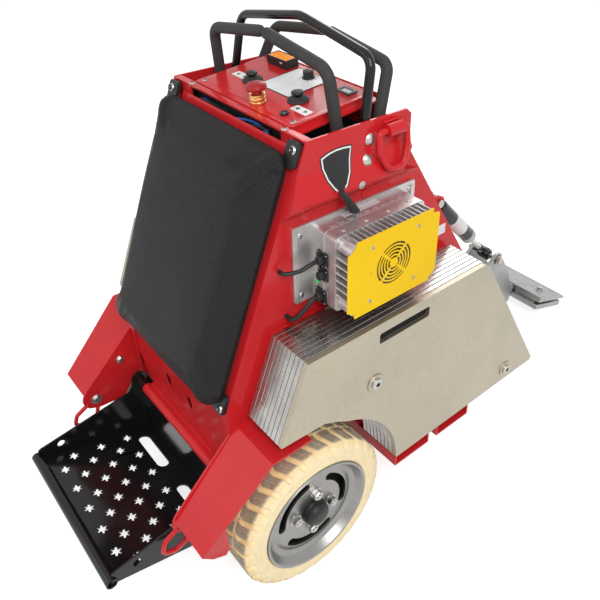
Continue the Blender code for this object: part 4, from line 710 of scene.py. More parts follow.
def side_plate(side, tag):
    """Point (u, v): v runs down the folded section and gives y and z; u runs from the rear edge to the
    front edge at that height. The wall is the same grid moved inwards."""
    section = side_section(side)
    fine = [section[0]]
    for a, b in zip(section, section[1:]):
        parts = max(1, int(np.linalg.norm(b - a) / 0.02))
        fine += [a + (b - a) * k / parts for k in range(1, parts + 1)]
    z_extra = np.array([0.932, 0.866, 0.84, 0.828, 0.806, 0.452, 0.393])
    fine = np.array(fine)
    y_extra = np.interp(-z_extra, -fine[:, 1], fine[:, 0])
    fine = np.concatenate([fine, np.stack([y_extra, z_extra], -1)])
    fine = fine[np.argsort(-fine[:, 1], kind="stable")]
    y, z = fine[:, 0], fine[:, 1]
    u = np.linspace(0, 1, 25)
    x = edge_rear(z)[:, None] + u * (edge_front(z) - edge_rear(z))[:, None]
    outer = np.stack([x, np.broadcast_to(y[:, None], x.shape), np.broadcast_to(z[:, None], x.shape)], -1)
    inner = outer - np.array([0, side * 0.005, 0])
    rim = np.concatenate([outer, inner[:, ::-1]], 1)
    form = Form()
    form.grid(rim, 0, wrap_cols=True)
    top, low = rim[0], rim[-1]
    for line in (top, low):
        half = len(line) // 2
        form.grid(np.stack([line[:half], line[half:][::-1]]), 0, wrap_cols=False)
    # The rear edge folded inwards: a strip 5 mm thick that reaches out to the plate at every height.
    level = np.array([0.915, 0.885, 0.862, 0.838, 0.83, 0.818, 0.806, 0.6, 0.452, 0.285])
    far = np.interp(-level, -fine[:, 1], np.abs(fine[:, 0])) - 0.0012
    rear, near = edge_rear(level) + 0.0002, np.full(len(level), 0.186)
    strip = [(rear, near), (rear, far), (rear + 0.005, far), (rear + 0.005, near)]
    form.grid(np.stack([np.stack([a, side * b, level], -1) for a, b in strip], 1), 0, caps=True)
    # The lower part runs on up behind the fold's cut end.
    form.prism([(0.258, 0.797), (0.3634, 0.797), (0.33, 0.85), (0.326, 0.858), (0.258, 0.858)],
               side * 0.2052, side * 0.2099, "Y")
    # Sleeve of the lifting ring, welded on.
    form.turn([(0.0066, 0.0), (0.0118, 0.0), (0.0126, 0.0008), (0.0126, 0.0382), (0.0118, 0.039),
               (0.0066, 0.039), (0.0066, 0.0)], 0, 32, facing((0.243, side * RING_Y, RING_Z), (1, 0, 0)))
    form.disc(0.008, 0.0, 0.034, 0, 24, outward(0.213, 0.178, 0.797, side))
    # Weld beads where the sleeve meets the plate.
    along = np.linspace(0.244, 0.281, 60)
    for rise in (0.0116, -0.0116):
        bead = np.stack([along, np.full(60, side * 0.2202), np.full(60, RING_Z + rise)], -1)
        form.tube(bead, 0.0023, 0, 8, 1 + 0.16 * np.sin(along * 2 * math.pi / 0.0035))
    form.cover("side_plate_" + tag, "red", "red_paint", bevel=sizes().edge, sharp=38)


SHEETS = ("chassis_plate", "front_cover", "rear_lower_panel", "rear_top_rail", "pad_top_bar",
          "platform_hinge_tube", "cross_channels", "arm_bracket", "cylinder_mount", "control_panel",
          "fender_left", "fender_right")


class STRIPPER_OT_body(bpy.types.Operator):
    """Side plates, covers, fenders, rails and channels in painted sheet metal."""

    bl_idname = "stripper.body"
    bl_label = "Body panels"

    def execute(self, context):
        for side, tag in SIDES:
            side_plate(side, tag)
        for node in SHEETS:
            dressed(node, "red", sizes().edge)
        dressed("pad_board", "plastic")
        return {"FINISHED"}


class STRIPPER_OT_fasteners(bpy.types.Operator):
    """Bolts, screws, blank plates and the wiring seen behind the rail."""

    bl_idname = "stripper.fasteners"
    bl_label = "Bolts and plates"

    def execute(self, context):
        bolts = Form()
        for side, _ in SIDES:
            out = (0, side, 0)
            dome(bolts, (0.213, side * 0.2187, 0.908), out, 0.0114, 0.007)
            slope = (0, side * 0.94, 0.34)
            dome(bolts, (0.205, side * 0.2228, 0.872), slope, 0.0114, 0.0068)
            dome(bolts, (0.182, side * 0.2358, 0.834), out, 0.0075, 0.003)
            pan_screw(bolts, (0.0771, side * 0.153, 0.9424), (0, 0, 1), 0.0072, 0.0042)
            spot = panel_matrix(0.101, side * 0.1445)
            pan_screw(bolts, spot.translation, spot.col[2].xyz, 0.0062, 0.003)
            dome(bolts, (-0.1135, side * 0.206, 0.3305), (0, -side, 0), 0.0062, 0.004)
            frame_pad = pad_matrix()
            for across, up in ((0.202, -0.0215), (0.1985, -0.525)):
                place = frame_pad @ Matrix.Translation((side * across, up, 0.0092))
                dome(bolts, place.translation, place.col[2].xyz, 0.0082, 0.0064)
            for x, z, size in ((-0.158, 0.318, 0.009), (-0.229, 0.238, 0.0112)):
                hex_bolt(bolts, (x, side * 0.2066, z), (0, -side, 0), size * 0.9, 0.005,
                         washer=size * 1.15, spin=0.3)
        bolts.piece("body_bolts", "machine", "bolt hole", "bright_steel")
        plates = Form()
        # A bare shield-shaped plate in front of the top corner of the right side.
        crest = np.array([(0.098, 0.905), (0.116, 0.9115), (0.135, 0.914), (0.154, 0.9135), (0.171, 0.911),
                          (0.1685, 0.888), (0.162, 0.862), (0.15, 0.842), (0.134, 0.828), (0.119, 0.841),
                          (0.107, 0.861), (0.101, 0.884)])
        middle = np.array([0.135, 0.88])
        for shrink, level, finish in ((1.0, 0.0, 1), (0.93, 0.0004, 0), (0.84, 0.0008, 1)):
            layer = middle + (crest - middle) * shrink
            drop = np.interp(layer[:, 1], [0.838, 0.885], [1.0, 0.0]) * 0.017
            top = np.stack([layer[:, 0], -(0.2194 + drop + level), layer[:, 1]], -1)
            back = top + (0, 0.001, 0)
            centre_top = np.broadcast_to(np.array([middle[0], -(0.2194 + 0.0016 + level), middle[1]]),
                                         top.shape)
            plates.grid(np.stack([back, top, centre_top]), finish)
        plates.box((0.425, -0.2108, 0.617), (0.456, -0.2099, 0.641), 0)
        plates.box((0.118, -0.2108, 0.598), (0.15, -0.2099, 0.612), 0)
        plates.piece("blank_plates", "machine", "white ink", "black_plastic")
        wires = Form()
        rng = np.linspace(0, 1, 60)
        for index, (finish, lift, sway) in enumerate(((0, 0.916, 0.006), (1, 0.921, 0.004),
                                                     (1, 0.912, 0.008), (1, 0.919, 0.007))):
            y = -0.1 + 0.22 * rng
            x = 0.0785 + 0.0045 * np.sin(rng * 9 + index * 2.1)
            z = lift + sway * np.sin(rng * 7 + index * 1.3) - 0.004 * index
            wires.tube(np.stack([x, y, z], -1), 0.0028, finish, 10)
        # Two dark sheets of painted shade fill the hollow behind the wires.
        wires.box((0.077, -0.205, 0.875), (0.298, 0.205, 0.88), 2)
        wires.box((0.0865, -0.212, 0.88), (0.09, 0.212, 0.925), 2)
        for side in (1, -1):
            y = side * (0.176 + 0.02 * np.sin(rng * 5))
            x = 0.13 + 0.15 * rng
            z = 0.892 + 0.012 * np.sin(rng * 8)
            wires.tube(np.stack([x, y, z], -1), 0.0022, 3, 8)
        wires.piece("loom", "machine", "wire_blue plastic hole stop", "black_plastic")
        return {"FINISHED"}


# ---------------------------------------------------------------- weights


def plate_outline():
    """A weight plate's outline from the side, its wheel arch an arc about a line near the axle."""
    arch, radius = (-0.015, 0.175), 0.235
    foot = math.degrees(math.asin((0.182 - arch[1]) / radius))
    return np.concatenate([
        [(-0.083, 0.43), (0.016, 0.425), (0.045, 0.411)], arc(arch, radius, 67, foot, 40),
        [(0.707, 0.187), (0.711, 0.196), (0.471, 0.582), (0.461, 0.59), (0.453, 0.591), (-0.019, 0.591)]])


def drawn_in(outline, middle, amount):
    """An outline whose points have moved towards its middle by one length."""
    inwards = middle - outline
    return outline + inwards * (amount / np.linalg.norm(inwards, axis=1)[:, None])


class STRIPPER_OT_weights(bpy.types.Operator):
    """Nine separate plated weights on each side, the outer one with its hand slot and bolts."""

    bl_idname = "stripper.weights"
    bl_label = "Weight plates"

    def execute(self, context):
        pitch, gap, start, ease = 0.01185, 0.0013, 0.2222, 0.0007
        stack_end = start + 8 * pitch
        outline = plate_outline()
        middle = np.array([0.3, 0.4])
        drawn = drawn_in(outline, middle, ease)
        for side, tag in SIDES:
            stack = Form()
            for index in range(8):
                low = start + index * pitch
                high = low + pitch - gap
                rings = [(drawn, low), (outline, low + ease), (outline, high - ease), (drawn, high)]
                points = [[(x, side * level, z) for x, z in line] for line, level in rings]
                stack.grid(np.array(points), 0, caps=True)
            # A dark core of painted shade closes the gaps between the plates.
            stack.prism(drawn_in(outline, middle, 0.008), side * (start + 0.001),
                        side * (stack_end - 0.001), "Y", 1)
            stack.cover("weight_stack_" + tag, "zinc_edge hole", "zinc_plate", sharp=30)
            plate = Form()
            slot = rounded_box(0.152, 0.2875, 0.543, 0.567, 0.0045, 5)
            plate.cut_sheet([outline, slot], side * stack_end, side * PLATE_FACE, "Y")
            for x, z in ((0.145, 0.45), (0.596, 0.222)):
                plate.turn([(0, -0.001), (0.0205, -0.001), (0.0205, 0.0018), (0.019, 0.0033),
                            (0, 0.0036)], 0, 44, outward(x, PLATE_FACE, z, side))
                socket_bolt(plate, (x, side * 0.3315, z), (0, side, 0), 0.0125, 0.0053, 1, 2)
            # The dark ground behind the hand slot, painted shade.
            plate.prism(rounded_box(0.15, 0.2895, 0.541, 0.569, 0.004, 4), side * (stack_end + 0.0012),
                        side * (stack_end + 0.0016), "Y", 2)
            plate.cover("outer_weight_plate_" + tag, "zinc bolt hole", "zinc_plate",
                        "outer_weight_%s_form" % tag, bevel=0.001)
        return {"FINISHED"}


# ---------------------------------------------------------------- step


def tray_matrix():
    """The step's floor: x forward from the rear tube, z square to the sheet."""
    return (Matrix.Translation((STEP_TUBE[0], 0, STEP_TUBE[1]))
            @ Matrix.Rotation(math.radians(14.2), 4, "Y"))


def star(centre, radius, points=6, waist=0.5, spin=0.0):
    """A star outline: blunt tips on one circle and inner corners on a smaller one."""
    step = math.pi / points
    angle = (np.arange(points)[:, None] * 2 * step + np.array([-0.13, 0.13, step]) + spin).ravel()
    reach = np.tile([radius, radius, radius * waist], points)
    return np.stack([centre[0] + reach * np.cos(angle), centre[1] + reach * np.sin(angle)], -1)


class STRIPPER_OT_step(bpy.types.Operator):
    """The folding step with its rows of grip stars, wedge sides and rear tube."""

    bl_idname = "stripper.step"
    bl_label = "Folding step"

    def execute(self, context):
        half, depth, wall = 0.19, 0.268, 0.004
        holes = []
        for row in range(6):
            count = 5 + row % 2
            for i in range(count):
                place = (0.038 + row * 0.032, (i - (count - 1) / 2) * 0.064)
                spin = 0.3 + 0.06 * ((row * 7 + i * 3) % 5 - 2)
                holes.append(star(place, sizes().star_radius, spin=spin))
        for side in (1, -1):
            holes.append(rounded_box(0.218, 0.246, *sorted((side * 0.034, side * 0.149)), 0.0138, 8))
        form = Form()
        edge = half - 0.001
        floor = [(0.004, -edge), (depth, -edge), (depth, edge), (0.004, edge)]
        form.cut_sheet([floor] + holes, -wall, 0.0, "Z", 0, tray_matrix())
        front = tray_matrix() @ Vector((depth, 0, 0))
        shape = np.concatenate([
            [(-0.384, 0.166), (-0.384, 0.184)], [(-0.3805, 0.1915), (-0.374, 0.194)],
            [(-0.16, 0.228), (-0.15, 0.24)], arc(STEP_HINGE, 0.019, 175, 0, 20),
            [(front.x + 0.002, 0.225), (front.x + 0.002, front.z - 0.004)]])
        for side in (1, -1):
            form.cut_sheet([shape, ring(0.0085, 24, (-0.332, 0.1815))], side * (half - wall),
                           side * half, "Y")
            form.disc(0.0105, 0, 0.0425, 0, 28, outward(STEP_HINGE[0], 0.1473, STEP_HINGE[1], side))
            form.turn([(0, 0), (0.0145, 0), (0.0145, 0.0022), (0.008, 0.003), (0.0076, 0.0024),
                       (0, 0.0024)], 0, 28, outward(STEP_HINGE[0], 0.1899, STEP_HINGE[1], side))
        form.box((front.x - 0.002, -edge, front.z - 0.003), (front.x + 0.002, edge, 0.225))
        form.turn([(0.0088, 0.0008), (0.0108, 0), (0.0115, 0.0007), (0.0115, 0.3873), (0.0108, 0.388),
                   (0.0088, 0.3872), (0.0084, 0.38), (0, 0.38), (0, 0.008), (0.0084, 0.008),
                   (0.0088, 0.0008)], 0, 36, facing((STEP_TUBE[0], -0.194, STEP_TUBE[1]), (0, 1, 0)))
        form.cover("platform_tray", "black", "black_paint", bevel=0.0008)
        return {"FINISHED"}


# ---------------------------------------------------------------- back pad


def pad_matrix():
    """Pad frame: x across, y up the slope of the body's rear edge, z out towards the operator."""
    angle = math.atan2(0.192, 0.491)
    up = Vector((math.sin(angle), 0, math.cos(angle)))
    out = Vector((-math.cos(angle), 0, math.sin(angle)))
    across = up.cross(out)
    rows = [(across[i], up[i], out[i], (0.072, 0, 0.943)[i]) for i in range(3)]
    return Matrix(rows + [(0, 0, 0, 1)])


def pad_outline(half, low, high, small, large):
    """A rectangle with small upper corners and large lower ones."""
    corners = ((half - small, high - small, small), (small - half, high - small, small),
               (large - half, low + large, large), (half - large, low + large, large))
    return np.concatenate([arc((x, y), radius, 90 * turn, 90 * turn + 90, 16)
                           for turn, (x, y, radius) in enumerate(corners)])


class STRIPPER_OT_pad(bpy.types.Operator):
    """The stuffed back pad, blown up under its cover by a cloth simulation."""

    bl_idname = "stripper.pad"
    bl_label = "Back pad"

    def execute(self, context):
        half, top, bottom, base = 0.204, -0.029, -0.538, 0.0103
        form = Form()
        rows = []
        # Rows run from the back edge round the side and over the face to its middle. Share s of the way
        # in, the outline shrinks by (1 - s) and the height rises by the crown times 1 - (1 - s) squared.
        for inset, height in ((0.005, base + 0.0004), (0.001, 0.016), (0.0005, 0.022), (0.003, 0.029),
                              (0.008, 0.036), (0.015, 0.041), (0.025, 0.045), (0.04, 0.0482)):
            outline = pad_outline(half - inset, bottom + inset, top - inset, max(0.03 - inset, 0.006),
                                  max(0.05 - inset, 0.01))
            rows.append(np.column_stack([outline, np.full(len(outline), height)]))
        edge = rows[-1]
        middle = np.array([0.0, (top + bottom) / 2, 0.0])
        for share in np.linspace(0.12, 1.0, 16):
            flat = edge * (1 - share) + middle * share
            flat[:, 2] = 0.0482 + sizes().pad_crown * 0.55 * (1 - (1 - share) ** 2)
            rows.append(flat)
        back = rows[0] * (0.001, 0.001, 1) + middle * (1, 1, 0)
        rows.insert(0, back)
        form.grid(placed(np.array(rows), pad_matrix()))
        obj = form.mesh_object("back_pad_form", "vinyl")
        voxel = obj.modifiers.new("even", "REMESH")
        voxel.mode, voxel.voxel_size = "VOXEL", 0.0055
        bake(obj)
        self.inflate(obj)
        smooth = obj.modifiers.new("fine", "SUBSURF")
        smooth.levels = smooth.render_levels = 1
        bake(obj)
        obj.data.materials.clear()
        obj.data.materials.append(FINISH["vinyl"])
        obj.data.shade_smooth()
        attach(obj, "machine")
        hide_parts("back_pad")
        return {"FINISHED"}

    def inflate(self, obj):
        """Cloth under pressure for 20 frames; the back stays pinned on its board, and no point moves more
        than 7 mm."""
        scene = bpy.context.scene
        frames, pressure, stiffness, farthest = 20, 3.5, 40, 0.007
        pinned_below, board, half_width = 0.0145, 0.0104, 0.206
        count = len(obj.data.vertices)
        rest = np.empty(count * 3)
        obj.data.vertices.foreach_get("co", rest)
        rest = rest.reshape(-1, 3)
        move = Matrix.Translation((AXLE_X, 0, 0)) @ pad_matrix()
        local = placed(rest, move.inverted())
        pinned = np.flatnonzero(local[:, 2] < pinned_below)
        group = obj.vertex_groups.new(name="board")
        group.add(pinned.tolist(), 1.0, "REPLACE")
        cloth = obj.modifiers.new("cover", "CLOTH")
        cloth.settings.use_pressure, cloth.settings.uniform_pressure_force = True, pressure
        cloth.settings.vertex_group_mass = "board"
        cloth.settings.effector_weights.gravity = 0.0
        cloth.settings.tension_stiffness = cloth.settings.compression_stiffness = stiffness
        cloth.settings.quality = 4
        for number in range(1, frames + 1):
            scene.frame_set(number)
        graph = bpy.context.evaluated_depsgraph_get()
        swollen = np.empty(count * 3)
        obj.evaluated_get(graph).data.vertices.foreach_get("co", swollen)
        step = swollen.reshape(-1, 3) - rest
        length = np.linalg.norm(step, axis=1)[:, None]
        step *= np.minimum(1.0, farthest / np.maximum(length, 1e-9))
        obj.modifiers.remove(cloth)
        scene.frame_set(1)
        local = placed(rest + step, move.inverted())
        local[:, 2] = np.maximum(local[:, 2], board)
        local[:, 0] = np.clip(local[:, 0], -half_width, half_width)
        obj.data.vertices.foreach_set("co", placed(local, move).ravel())
        obj.data.update()


# ---------------------------------------------------------------- controls


def panel_matrix(x, y):
    """A frame on the control panel's face at a place, its z square to the face."""
    return (Matrix.Translation((x, y, PANEL_Z + PANEL_RISE * (x - PANEL_X)))
            @ Matrix.Rotation(-math.atan(PANEL_RISE), 4, "Y"))


class STRIPPER_OT_controls(bpy.types.Operator):
    """Stop button, joysticks in bellows boots, speed knob, key, gauge, hour meter and blank labels."""

    bl_idname = "stripper.controls"
    bl_label = "Control panel devices"

    def execute(self, context):
        spot = panel_matrix(0.108, -0.03)
        Form().turn(rolled([(0.0106, 0.0004), (0.0152, 0.0004), (0.0152, 0.005), (0.014, 0.0058),
                            (0.014, 0.0068), (0.0152, 0.0076), (0.0152, 0.0128), (0.0138, 0.0136),
                            (0.0138, 0.0146), (0.015, 0.0152), (0.015, 0.019), (0.0106, 0.019),
                            (0.0106, 0.0004)], 0.0003, 2), 0, 56, spot).cover(
            "estop_collar", "brass", "brass")
        profile = [(0.0, 0.04), (0.006, 0.0399), (0.012, 0.039), (0.0165, 0.0372), (0.019, 0.0345),
                   (0.02, 0.0318), (0.0197, 0.0296), (0.018, 0.0278), (0.015, 0.0268), (0.012, 0.0262),
                   (0.01, 0.0262), (0.01, 0.0075), (0.0, 0.0075)]
        Form().turn(rolled(profile, 0.0004, 2), 0, 56, spot).cover("estop_button", "stop", "stop_red")
        for side, tag in SIDES:
            spot = panel_matrix(0.163, -0.0055 + side * 0.0735)
            Form().turn(rolled([(0.0, 0.019), (0.007, 0.0188), (0.0108, 0.0178), (0.0121, 0.016),
                                (0.0112, 0.0134), (0.0045, 0.012), (0.0035, 0.0112), (0.0035, 0.0009),
                                (0.0, 0.0009)], 0.0004, 2), 0, 40, spot).cover(
                "joystick_" + tag, "plastic", "black_plastic")
            fold = [(0.0062, 0.0088), (0.0092, 0.0088), (0.0122, 0.008), (0.0146, 0.0071), (0.0136, 0.0064),
                    (0.0164, 0.0056), (0.018, 0.0047), (0.0168, 0.004), (0.0196, 0.0031), (0.0207, 0.0022),
                    (0.0207, 0.0003), (0.0062, 0.0003), (0.0062, 0.0088)]
            Form().turn(rolled(fold, 0.0003, 3), 0, 44, spot).cover(
                "joystick_boot_" + tag, "grip", "grip_rubber")
        # Speed knob: a skirt, a ribbed barrel whose radius ripples round the turn, and a pointer line.
        spot = panel_matrix(0.241, -0.012)
        angle = np.linspace(0, 2 * math.pi, 144, endpoint=False)
        ripple = 0.00035 * (np.cos(angle * 18) > 0)
        levels = np.array([(0.013, 0.0003), (0.013, 0.0022), (0.0122, 0.0032), (0.0107, 0.004),
                           (0.0103, 0.015), (0.0094, 0.0162), (0.0, 0.0165)])
        radius = levels[:, :1] - ripple * ((levels[:, 1:2] > 0.0035) & (levels[:, 0:1] > 0.005))
        points = np.stack([radius * np.cos(angle), radius * np.sin(angle),
                           np.broadcast_to(levels[:, 1:2], radius.shape)], -1)
        knob = Form()
        base = np.stack([np.cos(angle) * 0.0001, np.sin(angle) * 0.0001, np.full(144, 0.0003)], -1)
        knob.grid(placed(np.concatenate([base[None], points]), spot), 0)
        knob.box((0.002, -0.0006, 0.016), (0.0098, 0.0006, 0.0167), 1, spot)
        knob.cover("speed_knob", "plastic white", "black_plastic")
        key = Form()
        key.turn(rolled([(0.0, 0.0022), (0.0042, 0.0022), (0.005, 0.0036), (0.0074, 0.0042),
                         (0.0085, 0.003), (0.0085, 0.0003), (0.0, 0.0003)], 0.0004, 2), 0, 44,
                 panel_matrix(0.111, -0.106))
        key.box((-0.0034, -0.0006, 0.0018), (0.0034, 0.0006, 0.0025), 1, panel_matrix(0.111, -0.106))
        key.cover("key_switch", "plastic bolt", "bright_steel")
        self.gauges()
        self.labels()
        return {"FINISHED"}

    def gauges(self):
        spot = panel_matrix(0.253, 0.088)
        gauge = Form()
        gauge.prism(rounded_box(-0.016, 0.016, -0.034, 0.034, 0.002, 4), 0.0003, 0.0172, "Z", 0, spot)
        gauge.cut_sheet([rounded_box(-0.0155, 0.0155, -0.0335, 0.0335, 0.002, 4),
                         rounded_box(-0.0125, 0.0125, -0.03, 0.03, 0.001, 3)], 0.017, 0.018, "Z", 0, spot)
        gauge.prism(rounded_box(-0.0124, 0.0124, -0.0299, 0.0299, 0.001, 3), 0.017, 0.0176, "Z", 1, spot)
        gauge.box((-0.0162, -0.02, 0.01), (-0.0158, -0.012, 0.013), 2, spot)
        gauge.cover("battery_gauge", "plastic amber white", "black_plastic", bevel=0.0006)
        spot = panel_matrix(0.2465, -0.118)
        meter = Form()
        meter.cut_sheet([rounded_box(-0.0115, 0.0115, -0.0185, 0.0185, 0.0015, 4),
                         rounded_box(-0.006, 0.006, -0.0125, 0.0125, 0.0008, 3)], 0.0003, 0.003, "Z", 0,
                        spot)
        meter.prism(rounded_box(-0.0061, 0.0061, -0.0126, 0.0126, 0.0008, 3), 0.0004, 0.0018, "Z", 1, spot)
        meter.cover("hour_meter", "plastic grey_label", "black_plastic", bevel=0.0004)

    def labels(self):
        form = Form()
        quad = np.array([(0.157, 0.045), (0.262, 0.045), (0.262, -0.056), (0.157, -0.056)])
        middle = quad.mean(0)

        def flat(outline, level, finish):
            outline = np.asarray(outline)
            z = PANEL_Z + PANEL_RISE * (outline[:, 0] - PANEL_X)
            rows = [np.column_stack([outline, z + lift]) for lift in (0.0001, level)]
            form.grid(np.array(rows), finish, caps=True)

        flat(quad, 0.0005, 1)
        flat(middle + (quad - middle) * 0.945, 0.0008, 0)
        # A dial of eleven strokes round the knob.
        for step in range(11):
            angle = math.radians(-135 + 27 * step)
            along = np.array([math.cos(angle), math.sin(angle)])
            over = np.array([-math.sin(angle), math.cos(angle)])
            start, stop = 0.015, 0.0185 if step % 5 else 0.02
            width = 0.0005 if step % 5 else 0.0009
            corners = [along * reach + over * shift for reach, shift in (
                (start, -width), (stop, -width), (stop, width), (start, width))]
            flat([(0.241 + a, -0.012 + b) for a, b in corners], 0.0011, 1)
        # Two small arrow plates beside the joysticks.
        width, length = 0.0095, 0.023
        for x, y in ((0.14, -0.118), (0.163, 0.106)):
            flat(rounded_box(x - width, x + width, y - length, y + length, 0.002, 3), 0.0006, 0)
            for side in (1, -1):
                base = y + side * 0.008
                flat([(x - 0.0045, base), (x + 0.0045, base), (x, y + side * 0.0165)][::side], 0.0009, 1)
        form.piece("panel_labels", "machine", "white ink", "black_plastic")


# ---------------------------------------------------------------- handles and rings


def round_end(path, radius, steps=6):
    """The scale of a section near the last point, so that the tube closes in a quarter circle, with the
    extra path points that carry it."""
    tip, before = path[-1], path[-2]
    along = (tip - before) / np.linalg.norm(tip - before)
    share = np.sin(np.linspace(0, math.pi / 2, steps + 1))
    extra = tip - along * radius * (1 - share)[:, None] * 0.85
    scale = np.sqrt(np.maximum(1 - (share * 0.96) ** 2, 0.02))
    keep = path[np.linalg.norm(path - tip, axis=1) > radius * 0.86]
    return np.concatenate([keep, extra]), np.concatenate([np.ones(len(keep)), scale])


class STRIPPER_OT_handles(bpy.types.Operator):
    """Rubber-covered drive levers, the fixed guard loop and the lifting rings."""

    bl_idname = "stripper.handles"
    bl_label = "Handles and rings"

    def execute(self, context):
        s = sizes()
        # The guard's feet stand just inside the side plates.
        plate_face, plate_wall, clearance = 0.219, 0.005, 0.0003
        foot = plate_face - plate_wall - s.guard_radius - clearance
        left = [(0.2045, foot, 0.856), (0.213, foot, 0.94), (0.231, 0.199, 1.046)]
        right = [(x, -y, z) for x, y, z in left[::-1]]
        path = softened(left + [(0.234, 0.0, 1.08)] + right, (0.05, 0.03, 0.1, 0.03, 0.05), 10)
        Form().tube(resampled(path, 150), s.guard_radius, 0, 28).cover(
            "guard_loop", "black", "black_paint")
        top = 0.833
        for side, tag in SIDES:
            rear = [(0.172, side * 0.187, top - 0.008), (0.163, side * 0.187, 0.935),
                    (0.1505, side * 0.178, 1.0365), (0.147, side * 0.0025, 1.0645)]
            front = [(0.255, side * 0.187, top - 0.008), (0.266, side * 0.187, 0.935),
                     (0.298, side * 0.172, 1.016), (0.299, side * 0.0025, 1.041)]
            form = Form()
            for points, bend in ((rear, 0.03), (front, 0.026)):
                path, scale = round_end(resampled(softened(points, (0.06, bend), 12), 90), s.grip_radius)
                form.tube(path, s.grip_radius, 0, 28, scale)
            yoke = np.concatenate([[(0.158, top), (0.158, top - 0.012)],
                                   arc((0.213, 0.797), 0.016, 200, 340, 14),
                                   [(0.27, top - 0.012), (0.27, top)]])
            form.cut_sheet([yoke, ring(0.0083, 24, (0.213, 0.797))], side * 0.179, side * 0.195, "Y", 1)
            form.cover("drive_lever_" + tag, "grip black", "grip_rubber")
            y, z, x0, x1 = side * RING_Y, RING_Z, 0.243, 0.282
            shoulder, low_y = side * (RING_Y + 0.004), side * (RING_Y + 0.012)
            middle = ((x0 + x1) / 2, y, z)
            bow = [middle, (x0 - 0.0185, y, z), (x0 - 0.02, shoulder, z - 0.036),
                   (x0 - 0.002, low_y, z - 0.0715), (x1 - 0.004, low_y, z - 0.0715),
                   (x1 + 0.012, shoulder, z - 0.036), (x1 + 0.011, y, z), middle]
            path = softened(bow, (0.008, 0.026, 0.02, 0.02, 0.026, 0.008), 10)[:-1]
            Form().tube(path, s.ring_rod, 0, 24, closed=True).cover("d_ring_" + tag, "red", "red_paint")
        return {"FINISHED"}

# ---------------------------------------------------------------- wheels


def wheel_matrix(side):
    """Turned pieces are made about Z; this lays them along Y with their top outwards."""
    return (Matrix.Translation((0, side * 0.328, TYRE_RADIUS))
            @ Matrix.Rotation(math.radians(-90 * side), 4, "X"))


def smooth_step(value, edge, soft):
    share = np.clip((value - edge) / soft + 0.5, 0, 1)
    return share * share * (3 - 2 * share)


def tyre_points(lugs, depth, steps=696):
    """Point (s, a): s runs round the section and a round the wheel. The radius is the section's own, less
    the depth of a groove where the wrapped angle, pushed on by a zigzag in the width, falls in the gap
    between two blocks. Grooves run out over the shoulder; a narrow zigzag sipe halves each block."""
    width, radius = 0.103, TYRE_RADIUS
    half = [(0.1273, -0.003), (0.129, -0.0008), (0.132, 0.0), (0.136, 0.0), (0.1364, -0.0007),
            (0.1375, -0.0007), (0.138, 0.0), (0.142, 0.0), (0.1424, -0.0006), (0.1434, -0.0006),
            (0.1438, 0.0), (0.15, 0.0), (0.153, -0.0002), (0.1537, -0.0012), (0.156, -0.0014),
            (0.159, -0.0022), (0.162, -0.0036), (0.1655, -0.0055), (0.169, -0.0078), (0.1715, -0.01),
            (0.1735, -0.0122), (0.1748, -0.0148)]
    half = np.array(half)
    tread = np.column_stack([np.full(43, radius), np.linspace(-0.0165, -width + 0.0165, 43)])
    other = np.column_stack([half[::-1, 0], -width - half[::-1, 1]])
    section = np.concatenate([half, tread, other, [(0.1273, -width + 0.003), (0.1273, -0.003)]])
    angle = np.linspace(0, 2 * math.pi, steps, endpoint=False)
    r, h = section[:, :1], section[:, 1:]
    across = (h + width / 2) / (width / 2)
    zigzag = 0.2 * np.abs(((across * 1.6 + 0.5) % 2) - 1) * np.sign(across + 1e-9)
    turn = (angle * lugs / (2 * math.pi) + zigzag + 0.24 * across) % 1.0
    gap = 1 - smooth_step(np.abs(turn - 0.5), 0.155, 0.05)
    reach = smooth_step(r, 0.16, 0.008)
    sipe_turn = (turn + 0.5) % 1.0
    sipe = (1 - smooth_step(np.abs(sipe_turn - 0.5), 0.026, 0.02)) * smooth_step(r, 0.1742, 0.0006)
    sipe *= 1 - smooth_step(np.abs(np.abs(across) - 0.52), 0.21, 0.04)
    middle = (1 - smooth_step(np.abs(across), 0.04, 0.03)) * smooth_step(r, 0.1742, 0.0006)
    cut = np.maximum(np.maximum(gap * reach, middle) * depth, sipe * depth * 0.5)
    r = r - cut
    return np.stack([r * np.cos(angle), r * np.sin(angle), np.broadcast_to(h, r.shape)], -1)


